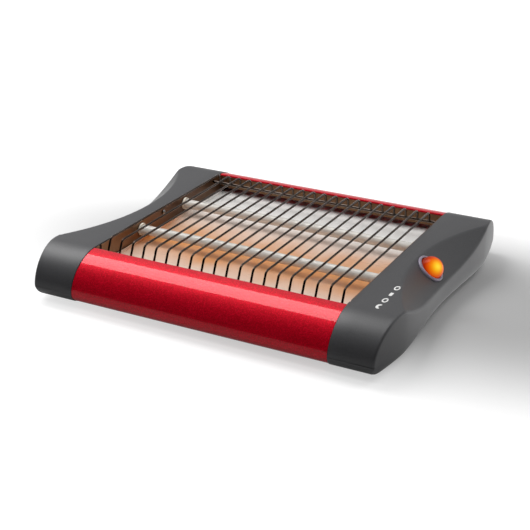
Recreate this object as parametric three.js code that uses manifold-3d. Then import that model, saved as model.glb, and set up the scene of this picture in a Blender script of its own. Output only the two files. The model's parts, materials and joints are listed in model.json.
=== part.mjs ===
// Flat toaster: a wire rack over two quartz heaters, between two moulded end caps.
// Millimetres, +Z up, X along the rails, -Y towards the user, origin on the table under the middle.

import * as THREE from 'three';
import { mergeVertices } from 'three/addons/utils/BufferGeometryUtils.js';
import Module from 'manifold-3d';

const wasm = await Module();
wasm.setup();

// Body, as seen from the end: a flat top that rolls over two bull noses to a flat underside
const railLength = 255;
const bodyDepth = 317;
const bodyBottom = 6;
const topHeight = 49;
const noseHeight = 17;
const noseLength = 40.5;
const noseUndercut = 14;
const noseCurvePower = 1.8;

// End caps, measured outwards from the end of the rails
const capWaistWidth = 43;
const capFlareWidth = 49;
const capNoseWidth = 41.5;
const capFlareInset = 54.5;
const capTaperPower = 1.4;
const capWall = 2.2;
const capEdgeRound = 1.6;
const capSideTuck = 4;
const capSideTuckHeight = 11;
const capSeam = 0.3;
const scoopPlateauWidth = 16.8;
const scoopRadius = 209;
const scoopSlope = THREE.MathUtils.degToRad(40);
const bossDiameter = 8;
const bossInset = 33.5;
const bossOffset = 22.5;
const tongueLength = 10;
const tongueInset = 6;

// Rails, rolled from sheet
const railSheet = 1;
const railStep = 0.6;
const railOverhang = 0.5;
const railLipDrop = 6.5;
const railFlangeWidth = 8.5;
const railSplitDrop = 15;

// Sheet-metal inner parts
const sheet = 0.8;
const clearance = 0.3;
const shieldTopDrop = 1;
const runnerWidth = 5;
const footFlangeWidth = 10;
const reflectorTopDrop = 2;
const backReflectorDrop = 14;
const ventLength = 30;
const ventWidth = 4;
const ventPitch = 30;
const ventRowReach = 60;
const ventCount = 7;

// Wire rack
const wirePitch = 12.5;
const wireEndMargin = 6;
const wireDiameter = 2.4;
const rackRise = 6;
const rackFlatInsetFront = 15;
const rackFlatInsetBack = 17.7;
const rackBendDrop = 2.3;
const rackBendFront = 3.8;
const rackBendBack = 2.6;
const crossRodDiameter = 2.8;
const frontRodInset = 7.5;
const frontRodDrop = 8;
const backRodInset = 15.7;
const backRodDrop = 4;
const rodPlay = 0.3;

// Crumb tray
const trayFloorDrop = 20.6;
const trayLipHeight = 3;
const trayFrontInset = 3;
const traySideGap = 1;
const trayFlangeDrop = 10;
const trayFrontGap = 0.5;
const trayRibThickness = 2;
const trayFlangeInset = 12.5;
const trayScrewSpan = 120;

// Quartz heaters
const heaterReach = 41;
const heaterDrop = 9;
const heaterDiameter = 9.5;
const heaterWall = 1.1;
const heaterEndOverrun = 5.5;
const coilDiameter = 5.8;
const coilEndMargin = 9;
const coilTailDiameter = 1.8;
const ceramicFlangeDiameter = 12.6;
const ceramicGrooveDiameter = 11.2;
const ceramicFlangeThickness = 2;
const ceramicLength = 14;
const ceramicEndThickness = 3;
const coilTailProud = 4;
const ceramicWindowMargin = 2.5;

// Rocker switch on the slope of the right scoop; heights are measured from the slope along its normal
const switchSlopeShare = 0.45;
const switchReach = 4;
const bezelDiameter = 28.4;
const bezelThickness = 2.2;
const bezelChamfer = 1;
const barrelDiameter = 25.2;
const barrelWall = 0.8;
const barrelLength = 18;
const rockerGap = 0.4;
const rockerDomeHeight = 12.2;
const rockerEdgeHeight = 1.6;
const rockerSkirtDepth = 2.6;
const rockerTilt = THREE.MathUtils.degToRad(7);
const pocketDepth = 7;
const pivotDiameter = 1.8;
const pivotDepth = 1.4;
const lampDiameter = 2.6;
const lampLength = 6;
const bladeWidth = 4.8;
const bladeThickness = 0.8;
const bladeLength = 6.5;
const bladePitch = 7;

// Wiring
const leadDiameter = 2.4;
const glandFlangeDiameter = 14;
const glandFlangeThickness = 2.2;
const glandNeckDiameter = 9.4;
const glandBoreDiameter = 7;
const glandLength = 16;
const glandRecess = 5;
const glandOffset = 22.5;
const glandHeight = 20;
const blockLength = 26;
const blockWidth = 16;
const blockHeight = 9;
const blockRidge = 4;
const blockBossGap = 25;

// Feet and fasteners
const footDiameter = 16;
const footTaper = 1;
const footRecessDiameter = 7.6;
const footRecessDepth = 2.6;
const longScrewLength = 20;
const screwShaft = 2.8;
const screwHeadDiameter = 6.2;
const screwHeadHeight = 1.5;
const shortScrewLength = 7;
const smallScrewHead = 4.8;
const frontRailScrewInset = 18.5;
const backRailScrewInset = 24.5;
const railScrewInset = 5.5;
const baseScrewInset = 27.5;
const shieldScrewDrop = 5;

// How finely curves are cut
const cutOverrun = 2;
const roundSides = 20;
const wireSides = 8;
const noseSteps = 7;
const underSteps = 4;
const scoopSteps = 8;

// Derived places
const railEnd = railLength / 2;
const capInner = railEnd + capSeam;
const noseReach = bodyDepth / 2;
const flatTopReach = noseReach - noseLength;
const flatUnderReach = noseReach - noseUndercut;
const capFlareReach = noseReach - capFlareInset;
const railInnerReach = flatTopReach - railOverhang;
const railSplitHeight = topHeight - railSplitDrop;
const scoopEdgeAtMiddle = railEnd + scoopPlateauWidth;
const scoopAxis = scoopEdgeAtMiddle + scoopRadius;
const shieldInner = railEnd - sheet;
const coverTop = bodyBottom + capWall;
const bossX = railEnd + bossOffset;
const bossReach = noseReach - bossInset;
const baseBottom = bodyBottom + railStep;
const baseTop = baseBottom + railSheet;
const reflectorReach = railInnerReach - clearance;
const backReflectorBottom = topHeight - backReflectorDrop;
const trayFloorHeight = topHeight - trayFloorDrop;
const trayFrontReach = railInnerReach - trayFrontInset;
const trayFlangeReach = noseReach - trayFlangeInset;
const runnerTop = trayFloorHeight - sheet - clearance;
const heaterHeight = topHeight - heaterDrop;
const shieldScrewHeight = topHeight - shieldScrewDrop;
const baseScrewReach = railInnerReach - baseScrewInset;
const rackHeight = topHeight + rackRise;
const rackFlatReachFront = railInnerReach - rackFlatInsetFront;
const rackFlatReachBack = railInnerReach - rackFlatInsetBack;
const frontRodReach = railInnerReach - frontRodInset;
const frontRodHeight = topHeight - frontRodDrop;
const backRodReach = railInnerReach - backRodInset;
const backRodHeight = topHeight - backRodDrop;
const wireGaps = Math.floor((railLength - 2 * wireEndMargin) / wirePitch);
const wireFirst = -wireGaps * wirePitch / 2;

const finishes = {
  capPlastic: new THREE.MeshStandardMaterial({ color: 0x4f4f51, roughness: 0.5, metalness: 0 }),
  redMetal: new THREE.MeshStandardMaterial({ color: 0xc8102a, roughness: 0.25, metalness: 0.6 }),
  polishedSteel: new THREE.MeshStandardMaterial({ color: 0xd9d7d3, roughness: 0.12, metalness: 1 }),
  plainSteel: new THREE.MeshStandardMaterial({ color: 0xa9a9a8, roughness: 0.4, metalness: 1 }),
  wireSteel: new THREE.MeshStandardMaterial({ color: 0x8b8582, roughness: 0.18, metalness: 1 }),
  quartz: new THREE.MeshStandardMaterial({ color: 0xf1ede6, roughness: 0.25, metalness: 0 }),
  coilWire: new THREE.MeshStandardMaterial({ color: 0x5b514b, roughness: 0.5, metalness: 0.8 }),
  ceramic: new THREE.MeshStandardMaterial({ color: 0xefe9dc, roughness: 0.6, metalness: 0 }),
  bezelPlastic: new THREE.MeshStandardMaterial({ color: 0x35323a, roughness: 0.3, metalness: 0 }),
  amberLens: new THREE.MeshStandardMaterial({ color: 0xff8a10, roughness: 0.1, metalness: 0 }),
  brass: new THREE.MeshStandardMaterial({ color: 0xc9a24a, roughness: 0.35, metalness: 1 }),
  leadSleeve: new THREE.MeshStandardMaterial({ color: 0xe8e2d2, roughness: 0.7, metalness: 0 }),
  rubber: new THREE.MeshStandardMaterial({ color: 0x1b1b1c, roughness: 0.85, metalness: 0 }),
  nylon: new THREE.MeshStandardMaterial({ color: 0xe9e6da, roughness: 0.5, metalness: 0 }),
};

const toaster = new THREE.Group();

// Solids and booleans

function signedVolume(geometry) {
  const at = geometry.attributes.position;
  const order = geometry.index;
  const [a, b, c] = [new THREE.Vector3(), new THREE.Vector3(), new THREE.Vector3()];
  let sum = 0;
  for (let i = 0; i < order.count; i += 3) {
    a.fromBufferAttribute(at, order.getX(i));
    b.fromBufferAttribute(at, order.getX(i + 1));
    c.fromBufferAttribute(at, order.getX(i + 2));
    sum += a.dot(b.cross(c));
  }
  return sum;
}

// A skin over rings that all have the same number of points, closed by a fan at each end
function loft(rings) {
  const count = rings[0].length;
  const points = rings.flat().flatMap((p) => [p.x, p.y, p.z]);
  const faces = [];
  for (let r = 0; r + 1 < rings.length; r += 1) {
    for (let i = 0; i < count; i += 1) {
      const near = r * count + i;
      const next = r * count + (i + 1) % count;
      faces.push(near, next, next + count);
      faces.push(near, next + count, near + count);
    }
  }
  const last = (rings.length - 1) * count;
  for (let i = 1; i + 1 < count; i += 1) {
    faces.push(0, i + 1, i);
    faces.push(last, last + i, last + i + 1);
  }
  const skin = new THREE.BufferGeometry();
  skin.setAttribute('position', new THREE.Float32BufferAttribute(points, 3));
  skin.setIndex(faces);
  if (signedVolume(skin) < 0) {
    skin.setIndex(faces.reverse());
  }
  return skin;
}

function toSolid(geometry) {
  const bare = geometry.clone();
  bare.deleteAttribute('normal');
  bare.deleteAttribute('uv');
  const merged = mergeVertices(bare);
  const vertProperties = new Float32Array(merged.attributes.position.array);
  const triVerts = new Uint32Array(merged.index.array);
  return new wasm.Manifold(new wasm.Mesh({ numProp: 3, vertProperties, triVerts }));
}

function toGeometry(solid) {
  const mesh = solid.getMesh();
  const geometry = new THREE.BufferGeometry();
  geometry.setAttribute('position', new THREE.BufferAttribute(mesh.vertProperties, 3));
  geometry.setIndex(new THREE.BufferAttribute(mesh.triVerts, 1));
  geometry.computeVertexNormals();
  return geometry;
}

function cut(geometry, ...tools) {
  return toGeometry(tools.reduce((left, tool) => left.subtract(toSolid(tool)), toSolid(geometry)));
}

function join(geometry, ...extras) {
  return toGeometry(extras.reduce((left, extra) => left.add(toSolid(extra)), toSolid(geometry)));
}

function keep(geometry, region) {
  return toGeometry(toSolid(geometry).intersect(toSolid(region)));
}

// Reflection in the plane x = 0, with the faces turned to point out again
function mirrored(geometry) {
  const copy = geometry.clone().scale(-1, 1, 1);
  copy.setIndex([...copy.index.array].reverse());
  return copy;
}

// Basic shapes

function box(x, y, z) {
  const size = [x, y, z].map(([low, high]) => high - low);
  const middle = [x, y, z].map(([low, high]) => (low + high) / 2);
  return new THREE.BoxGeometry(...size).translate(...middle);
}

function rod(from, to, diameter, sides = roundSides) {
  const along = new THREE.Vector3().subVectors(to, from);
  const shape = new THREE.CylinderGeometry(diameter / 2, diameter / 2, along.length(), sides);
  const upright = new THREE.Vector3(0, 1, 0);
  const turn = new THREE.Quaternion().setFromUnitVectors(upright, along.clone().normalize());
  const middle = new THREE.Vector3().addVectors(from, to).divideScalar(2);
  return shape.applyQuaternion(turn).translate(middle.x, middle.y, middle.z);
}

function rodAlongX(x, y, z, diameter, sides) {
  return rod(new THREE.Vector3(x[0], y, z), new THREE.Vector3(x[1], y, z), diameter, sides);
}

function rodAlongY(x, y, z, diameter, sides) {
  return rod(new THREE.Vector3(x, y[0], z), new THREE.Vector3(x, y[1], z), diameter, sides);
}

function rodAlongZ(x, y, z, diameter, sides) {
  return rod(new THREE.Vector3(x, y, z[0]), new THREE.Vector3(x, y, z[1]), diameter, sides);
}

// A profile of [radius, height] turned about the local Z axis
function turned(profile, sides = roundSides) {
  const points = profile.map(([radius, height]) => new THREE.Vector2(radius, height));
  const shape = new THREE.LatheGeometry(points, sides).rotateX(Math.PI / 2);
  const bare = shape.clone();
  bare.deleteAttribute('normal');
  bare.deleteAttribute('uv');
  const merged = mergeVertices(bare);
  const faces = [];
  const order = merged.index.array;
  for (let i = 0; i < order.length; i += 3) {
    const [a, b, c] = order.slice(i, i + 3);
    if (a !== b && b !== c && c !== a) {
      faces.push(a, b, c);
    }
  }
  merged.setIndex(faces);
  if (signedVolume(merged) < 0) {
    merged.setIndex(faces.reverse());
  }
  return merged;
}

// An outline in the Y-Z plane, drawn out along X
function drawnAlongX(outline, from, to) {
  const shape = new THREE.Shape(outline.map(([y, z]) => new THREE.Vector2(y, z)));
  const solid = new THREE.ExtrudeGeometry(shape, { depth: to - from, bevelEnabled: false, steps: 1 });
  const axes = new THREE.Matrix4().makeBasis(
    new THREE.Vector3(0, 1, 0),
    new THREE.Vector3(0, 0, 1),
    new THREE.Vector3(1, 0, 0),
  );
  return solid.applyMatrix4(axes).translate(from, 0, 0);
}

function tubeAlong(points, diameter, sides, steps) {
  const section = new THREE.Shape();
  for (let i = 0; i < sides; i += 1) {
    const angle = 2 * Math.PI * i / sides;
    const x = Math.cos(angle) * diameter / 2;
    const y = Math.sin(angle) * diameter / 2;
    if (i === 0) {
      section.moveTo(x, y);
    } else {
      section.lineTo(x, y);
    }
  }
  const extrudePath = new THREE.CatmullRomCurve3(points);
  return new THREE.ExtrudeGeometry(section, { steps, bevelEnabled: false, extrudePath });
}

function place(name, geometry, material, parent = toaster) {
  const mesh = new THREE.Mesh(geometry, material);
  mesh.name = name;
  parent.add(mesh);
  return mesh;
}

// The body's section, seen from the end. An inset moves the whole section inwards.

function upperAt(reach, inset) {
  const past = Math.abs(reach) - flatTopReach;
  if (past <= 0) {
    return topHeight - inset;
  }
  const share = Math.min(past / (noseReach - flatTopReach - inset), 1);
  const rise = (1 - share ** noseCurvePower) ** (1 / noseCurvePower);
  return noseHeight + (topHeight - inset - noseHeight) * rise;
}

function lowerAt(reach, inset) {
  const past = Math.abs(reach) - flatUnderReach;
  if (past <= 0) {
    return bodyBottom + inset;
  }
  const share = Math.min(past / (noseUndercut - inset), 1);
  return noseHeight - (noseHeight - bodyBottom - inset) * Math.sqrt(1 - share * share);
}

// How far out the section reaches at a height above the nose
function outerReachAt(height, inset) {
  const rise = (height - noseHeight) / (topHeight - inset - noseHeight);
  const share = (1 - rise ** noseCurvePower) ** (1 / noseCurvePower);
  return flatTopReach + (noseReach - flatTopReach - inset) * share;
}

// Points [reach, height] over one nose, from the flat top round to the flat underside
function noseOutline(inset) {
  const outline = [];
  for (let i = 0; i <= noseSteps; i += 1) {
    const angle = Math.PI / 2 * i / noseSteps;
    const share = Math.sin(angle) ** (2 / noseCurvePower);
    const reach = flatTopReach + (noseReach - flatTopReach - inset) * share;
    outline.push([reach, upperAt(reach, inset)]);
  }
  for (let i = 1; i <= underSteps; i += 1) {
    const angle = Math.PI / 2 * i / underSteps;
    const reach = flatUnderReach + (noseUndercut - inset) * Math.cos(angle);
    outline.push([reach, noseHeight - (noseHeight - bodyBottom - inset) * Math.sin(angle)]);
  }
  return outline;
}

// End caps

// The outer side of a cap: narrow in the middle, widest where the scoop runs out, drawn in at the noses
function sideAt(reach) {
  const past = Math.abs(reach);
  if (past <= capFlareReach) {
    const share = (1 - Math.cos(Math.PI * past / capFlareReach)) / 2;
    return railEnd + THREE.MathUtils.lerp(capWaistWidth, capFlareWidth, share);
  }
  const share = ((past - capFlareReach) / (noseReach - capFlareReach)) ** capTaperPower;
  return railEnd + THREE.MathUtils.lerp(capFlareWidth, capNoseWidth, share);
}

// The scoop is a cone about an upright axis outside the body
function scoopHeightAt(x, reach) {
  const inwards = scoopRadius - Math.hypot(scoopAxis - x, reach);
  return topHeight - inwards * Math.tan(scoopSlope);
}

function scoopEdgeAt(reach) {
  return scoopAxis - Math.sqrt(scoopRadius ** 2 - reach ** 2);
}

// The two ends of the slope at this reach: its edge on the flat top and its edge on the side
function slopeAt(reach, upper) {
  const side = sideAt(reach);
  return {
    side,
    edge: Math.min(scoopEdgeAt(reach), side - capEdgeRound),
    brink: Math.min(scoopHeightAt(side, reach), upper - capEdgeRound),
  };
}

function capSection(reach) {
  const upper = upperAt(reach, 0);
  const lower = lowerAt(reach, 0);
  const { side, edge, brink } = slopeAt(reach, upper);
  const tuckHeight = Math.min(capSideTuckHeight, (brink - lower) / 2);
  const tuck = capSideTuck * tuckHeight / capSideTuckHeight;
  const shoulder = Math.min(capEdgeRound, (brink - lower) / 4);
  const slope = new THREE.Vector2(edge - side, upper - brink).setLength(shoulder);
  const outline = [
    [capInner, lower],
    [capInner, upper - shoulder / 2],
    [capInner + shoulder / 2, upper],
    [edge, upper],
    [side + slope.x, brink + slope.y],
    [side, brink - shoulder],
    [side, lower + tuckHeight],
    [side - tuck / 3, lower + tuckHeight / 3],
    [side - tuck, lower],
  ];
  return outline.map(([x, z]) => new THREE.Vector3(x, reach, z));
}

// The hollow inside a cap; it is open below as far as the cover reaches
function hollowSection(reach, open) {
  const upper = upperAt(reach, capWall);
  const lower = lowerAt(reach, capWall);
  const { side, edge, brink } = slopeAt(reach, upperAt(reach, 0));
  const wall = capWall / Math.sin(scoopSlope);
  const floor = open ? bodyBottom - cutOverrun : lower;
  const outline = [
    [capInner + capWall, floor],
    [capInner + capWall, upper],
    [edge - wall / 2, upper],
    [side - capWall, Math.max(brink - wall, lower + capWall)],
    [side - capWall, lower + capWall / 2],
    [side - capWall - capSideTuck, floor],
  ];
  return outline.map(([x, z]) => new THREE.Vector3(x, reach, z));
}

function bothWays(reaches) {
  const positive = reaches.filter((reach) => reach > 0);
  return [...positive.map((reach) => -reach).reverse(), 0, ...positive];
}

function capReaches() {
  const reaches = [];
  for (let i = 1; i <= scoopSteps; i += 1) {
    reaches.push(capFlareReach * i / scoopSteps);
  }
  const tips = noseOutline(0).slice(0, noseSteps).map(([reach]) => reach);
  const lastTip = THREE.MathUtils.lerp(tips[tips.length - 1], noseReach, 1 / 2);
  return [...reaches, ...tips, lastTip];
}

const coverReach = flatUnderReach - capWall / 2;

function capHollow() {
  const inner = noseReach - capWall - noseUndercut / 3;
  const open = capReaches().filter((reach) => reach < coverReach);
  const middle = loft(bothWays([...open, coverReach]).map((reach) => hollowSection(reach, true)));
  const tips = [1, -1].map((way) => {
    const reaches = [coverReach - capWall, coverReach, (coverReach + inner) / 2, inner];
    return loft(reaches.map((reach) => hollowSection(way * reach, false)));
  });
  return join(middle, ...tips);
}

// Blocks on the inner face that the hollow rails slide over
function railTongue(way, bottom) {
  const inset = railStep + railSheet + clearance;
  const outline = noseOutline(inset).map(([reach, z]) => [way * reach, z]);
  outline.push([way * flatTopReach, bodyBottom + inset]);
  const across = [capInner - tongueLength, capInner + capWall / 2];
  const block = drawnAlongX(way > 0 ? outline : outline.reverse(), ...across);
  const along = [way * (flatTopReach + tongueInset), way * bodyDepth].sort((a, b) => a - b);
  return keep(block, box([0, railLength], along, [bottom, topHeight]));
}

const screwHole = screwShaft + 2 * clearance;

function railScrewY(way) {
  return way < 0 ? frontRailScrewInset - noseReach : noseReach - backRailScrewInset;
}

function capBlank() {
  const outer = loft(bothWays(capReaches()).map(capSection));
  const shell = cut(outer, capHollow());
  const bossTop = upperAt(bossReach, 0) - capWall / 2;
  const bossSpan = [coverTop + clearance, bossTop];
  const bosses = [-1, 1].map((way) => rodAlongZ(bossX, way * bossReach, bossSpan, bossDiameter));
  const tongues = [
    railTongue(-1, baseTop + clearance),
    railTongue(1, railSplitHeight + railSheet + clearance),
  ];
  const solid = join(shell, ...bosses, ...tongues);
  const bossHoles = [-1, 1].map((way) => {
    const span = [coverTop - cutOverrun, footRecessDepth + longScrewLength + cutOverrun];
    return rodAlongZ(bossX, way * bossReach, span, screwHole);
  });
  const railHoles = [-1, 1].map((way) => {
    const flange = way < 0 ? baseBottom : railSplitHeight;
    const span = [flange, flange + shortScrewLength + cutOverrun];
    return rodAlongZ(railEnd - railScrewInset, railScrewY(way), span, screwHole);
  });
  const window = ceramicFlangeDiameter / 2 + ceramicWindowMargin;
  const through = [capInner - cutOverrun, capInner + capWall + cutOverrun];
  const windowTop = Math.min(heaterHeight + window, topHeight - capWall + clearance);
  const windows = [-1, 1].map((way) => {
    const middle = way * heaterReach;
    return box(through, [middle - window, middle + window], [heaterHeight - window, windowTop]);
  });
  const shieldHole = rodAlongX(through, 0, shieldScrewHeight, screwHole);
  return cut(solid, ...bossHoles, ...railHoles, ...windows, shieldHole);
}

const switchX = THREE.MathUtils.lerp(scoopEdgeAtMiddle, sideAt(0), switchSlopeShare);
const switchSeat = new THREE.Group();
switchSeat.position.set(switchX, switchReach, scoopHeightAt(switchX, switchReach));
switchSeat.rotation.y = scoopSlope;
switchSeat.updateMatrix();

function switchHoles() {
  const seat = rodAlongZ(0, 0, [-clearance, rockerDomeHeight + cutOverrun], bezelDiameter + 2 * clearance);
  const barrel = rodAlongZ(0, 0, [-barrelLength - cutOverrun, cutOverrun], barrelDiameter + 2 * clearance);
  return [seat, barrel].map((tool) => tool.applyMatrix4(switchSeat.matrix));
}

const glandX = railEnd + glandOffset;
const glandFace = noseReach - glandRecess;

function glandHoles() {
  const pocket = glandFlangeDiameter + 2 * clearance;
  const bore = glandNeckDiameter + 2 * clearance;
  return [
    rodAlongY(glandX, [glandFace, noseReach + cutOverrun], glandHeight, pocket),
    rodAlongY(glandX, [glandFace - glandLength, glandFace + cutOverrun], glandHeight, bore),
  ];
}

function capCover() {
  const inner = capInner + capWall + clearance;
  const reaches = bothWays(capReaches().filter((reach) => reach < coverReach - clearance));
  const ends = [-(coverReach - clearance), coverReach - clearance];
  const along = [ends[0], ...reaches, ends[1]];
  const shape = new THREE.Shape();
  shape.moveTo(inner, ends[0]);
  for (const reach of along) {
    shape.lineTo(sideAt(reach) - capWall - capSideTuck - clearance, reach);
  }
  shape.lineTo(inner, ends[1]);
  const plate = new THREE.ExtrudeGeometry(shape, { depth: capWall, bevelEnabled: false });
  plate.translate(0, 0, bodyBottom);
  const holes = [-1, 1].map((way) => {
    return rodAlongZ(bossX, way * bossReach, [bodyBottom - cutOverrun, coverTop + cutOverrun], screwHole);
  });
  return cut(plate, ...holes);
}

const cap = capBlank();
place('right_cap', cut(cap, ...switchHoles(), ...glandHoles()), finishes.capPlastic);
place('left_cap', mirrored(cap), finishes.capPlastic);
const cover = capCover();
place('right_cap_cover', cover, finishes.capPlastic);
place('left_cap_cover', mirrored(cover), finishes.capPlastic);

// Rails: a rolled skin with a lip along the rack and a flange below

function railSkin(way) {
  const outer = noseOutline(railStep);
  const inner = noseOutline(railStep + railSheet).reverse();
  const top = topHeight - railStep;
  const flange = flatUnderReach - railFlangeWidth;
  const outline = [
    [railInnerReach, top],
    ...outer,
    [flange, baseBottom],
    [flange, baseTop],
    ...inner,
    [railInnerReach + railSheet, top - railSheet],
    [railInnerReach + railSheet, top - railLipDrop],
    [railInnerReach, top - railLipDrop],
  ];
  const signed = outline.map(([reach, z]) => [way * reach, z]);
  return drawnAlongX(way > 0 ? signed : signed.reverse(), -railEnd, railEnd);
}

function railScrewHoles(way, flange) {
  const span = [flange - cutOverrun, flange + railSheet + cutOverrun];
  const x = railEnd - railScrewInset;
  return [-x, x].map((at) => rodAlongZ(at, railScrewY(way), span, screwHole));
}

const everywhere = [-railLength, railLength];
const outside = [flatTopReach / 2, bodyDepth];
place('front_rail', cut(railSkin(-1), ...railScrewHoles(-1, baseBottom)), finishes.redMetal);

const backUpper = keep(railSkin(1), box(everywhere, outside, [railSplitHeight, topHeight + cutOverrun]));
const backFlangeEnd = outerReachAt(railSplitHeight + railSheet, railStep + railSheet / 2);
const backFlangeSpan = [railScrewY(1) - smallScrewHead, backFlangeEnd];
const backFlange = box([-railEnd, railEnd], backFlangeSpan, [railSplitHeight, railSplitHeight + railSheet]);
const backRail = join(backUpper, backFlange);
place('back_rail', cut(backRail, ...railScrewHoles(1, railSplitHeight)), finishes.redMetal);

// Base plate with its vents, lying on the front rail's flange

function basePlate() {
  const reach = flatUnderReach - railFlangeWidth - trayFrontGap;
  const plate = box([-railEnd, railEnd], [-reach, reach], [baseBottom, baseTop]);
  const vents = [];
  for (const row of [-1, 1]) {
    for (let i = 0; i < ventCount; i += 1) {
      const x = (i - (ventCount - 1) / 2) * ventPitch;
      const across = [x - ventWidth / 2, x + ventWidth / 2];
      const along = [row * ventRowReach - ventLength / 2, row * ventRowReach + ventLength / 2];
      vents.push(box(across, along, [baseBottom - cutOverrun, baseTop + cutOverrun]));
    }
  }
  for (const [x, y] of baseScrewPlaces) {
    vents.push(rodAlongZ(x, y, [baseBottom - cutOverrun, baseTop + cutOverrun], screwHole));
  }
  return cut(plate, ...vents);
}

const baseScrewX = shieldInner - footFlangeWidth / 2;
const baseScrewPlaces = [-1, 1].flatMap((side) => {
  return [-1, 1].map((way) => [side * baseScrewX, way * baseScrewReach]);
});
place('base_plate', basePlate(), finishes.plainSteel);

// Heat shields: upright plates inside the caps, with a runner for the tray and a foot flange

const shieldReach = railInnerReach - capWall / 2;
const shieldBottom = baseTop + clearance;
const shieldTop = topHeight - shieldTopDrop;

function heatShield() {
  const along = [-shieldReach, shieldReach];
  const plate = box([shieldInner, railEnd], along, [shieldBottom, shieldTop]);
  const runner = box([shieldInner - runnerWidth, railEnd], along, [runnerTop - sheet, runnerTop]);
  const foot = box([shieldInner - footFlangeWidth, railEnd], along, [shieldBottom, shieldBottom + sheet]);
  const across = [shieldInner - cutOverrun, railEnd + cutOverrun];
  const rodHole = crossRodDiameter + 2 * rodPlay;
  const notchBottom = frontRodHeight - crossRodDiameter / 2 - clearance;
  const notchSpan = [-frontRodReach - rodHole / 2, -frontRodReach + rodHole / 2];
  const tubeHoles = [-1, 1].map((way) => {
    return rodAlongX(across, way * heaterReach, heaterHeight, ceramicGrooveDiameter + 2 * clearance);
  });
  const footHoles = [-1, 1].map((way) => {
    const span = [shieldBottom - cutOverrun, shieldBottom + sheet + cutOverrun];
    return rodAlongZ(baseScrewX, way * baseScrewReach, span, screwHole);
  });
  return cut(
    join(plate, runner, foot),
    box(across, notchSpan, [notchBottom, shieldTop + cutOverrun]),
    rodAlongX(across, backRodReach, backRodHeight, rodHole),
    rodAlongX(across, 0, shieldScrewHeight, screwHole),
    ...tubeHoles,
    ...footHoles,
  );
}

const shield = heatShield();
place('right_heat_shield', shield, finishes.polishedSteel);
place('left_heat_shield', mirrored(shield), finishes.polishedSteel);

// Reflector walls behind the rails; the tray slides out under the back one

function reflectorWall(way, bottom) {
  const across = [clearance - shieldInner, shieldInner - clearance];
  const wall = [reflectorReach - sheet, reflectorReach].map((reach) => way * reach).sort((a, b) => a - b);
  return box(across, wall, [bottom, topHeight - reflectorTopDrop]);
}

place('front_reflector', reflectorWall(-1, trayFloorHeight - sheet), finishes.polishedSteel);
place('back_reflector', reflectorWall(1, backReflectorBottom), finishes.polishedSteel);

// Crumb tray: the polished floor of the toaster, with the lower half of the back rail as its front

const trayHalfWidth = shieldInner - traySideGap;
const trayBottom = trayFloorHeight - sheet;

function crumbTray() {
  const along = [-trayFrontReach, trayFlangeReach];
  const floor = box([-trayHalfWidth, trayHalfWidth], along, [trayBottom, trayFloorHeight]);
  const lipTop = trayFloorHeight + trayLipHeight;
  const lipEnd = reflectorReach - sheet;
  const lips = [
    box([-trayHalfWidth, sheet - trayHalfWidth], [-trayFrontReach, lipEnd], [trayBottom, lipTop]),
    box([trayHalfWidth - sheet, trayHalfWidth], [-trayFrontReach, lipEnd], [trayBottom, lipTop]),
    box([-trayHalfWidth, trayHalfWidth], [-trayFrontReach, sheet - trayFrontReach], [trayBottom, lipTop]),
  ];
  const flangeSpan = [trayFlangeReach - sheet, trayFlangeReach];
  const flangeHeights = [trayBottom - trayFlangeDrop, trayFloorHeight];
  const flange = box([-trayHalfWidth, trayHalfWidth], flangeSpan, flangeHeights);
  const holeSpan = [trayFlangeReach - cutOverrun, trayFlangeReach + cutOverrun];
  const holes = trayScrewPlaces.map((x) => rodAlongY(x, holeSpan, trayScrewHeight, screwHole));
  return cut(join(floor, ...lips, flange), ...holes);
}

const trayScrewHeight = trayBottom - trayFlangeDrop / 2;
const trayScrewPlaces = [-trayScrewSpan / 2, trayScrewSpan / 2];
place('crumb_tray', crumbTray(), finishes.polishedSteel);

function trayFront() {
  const half = railEnd - trayFrontGap;
  const top = railSplitHeight - trayFrontGap;
  const skin = keep(railSkin(1), box([-half, half], outside, [0, top]));
  const ribSpan = [trayFlangeReach + clearance, trayFlangeReach + clearance + trayRibThickness];
  const bridgeSpan = [ribSpan[0], noseReach - railStep - railSheet / 2];
  const ribBottom = Math.min(trayBottom - trayFlangeDrop, noseHeight - railSheet);
  const ribs = trayScrewPlaces.map((x) => {
    const across = [x - screwHeadDiameter, x + screwHeadDiameter];
    const rib = box(across, ribSpan, [ribBottom, trayFloorHeight]);
    const bridge = box(across, bridgeSpan, [noseHeight - railSheet, noseHeight + railSheet]);
    return join(rib, bridge);
  });
  const holeSpan = [trayFlangeReach, ribSpan[1] + cutOverrun];
  const holes = trayScrewPlaces.map((x) => rodAlongY(x, holeSpan, trayScrewHeight, screwHole));
  return cut(join(skin, ...ribs), ...holes);
}

place('tray_front', trayFront(), finishes.redMetal);

// Wire rack: bent wires welded to a rod at each foot

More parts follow.
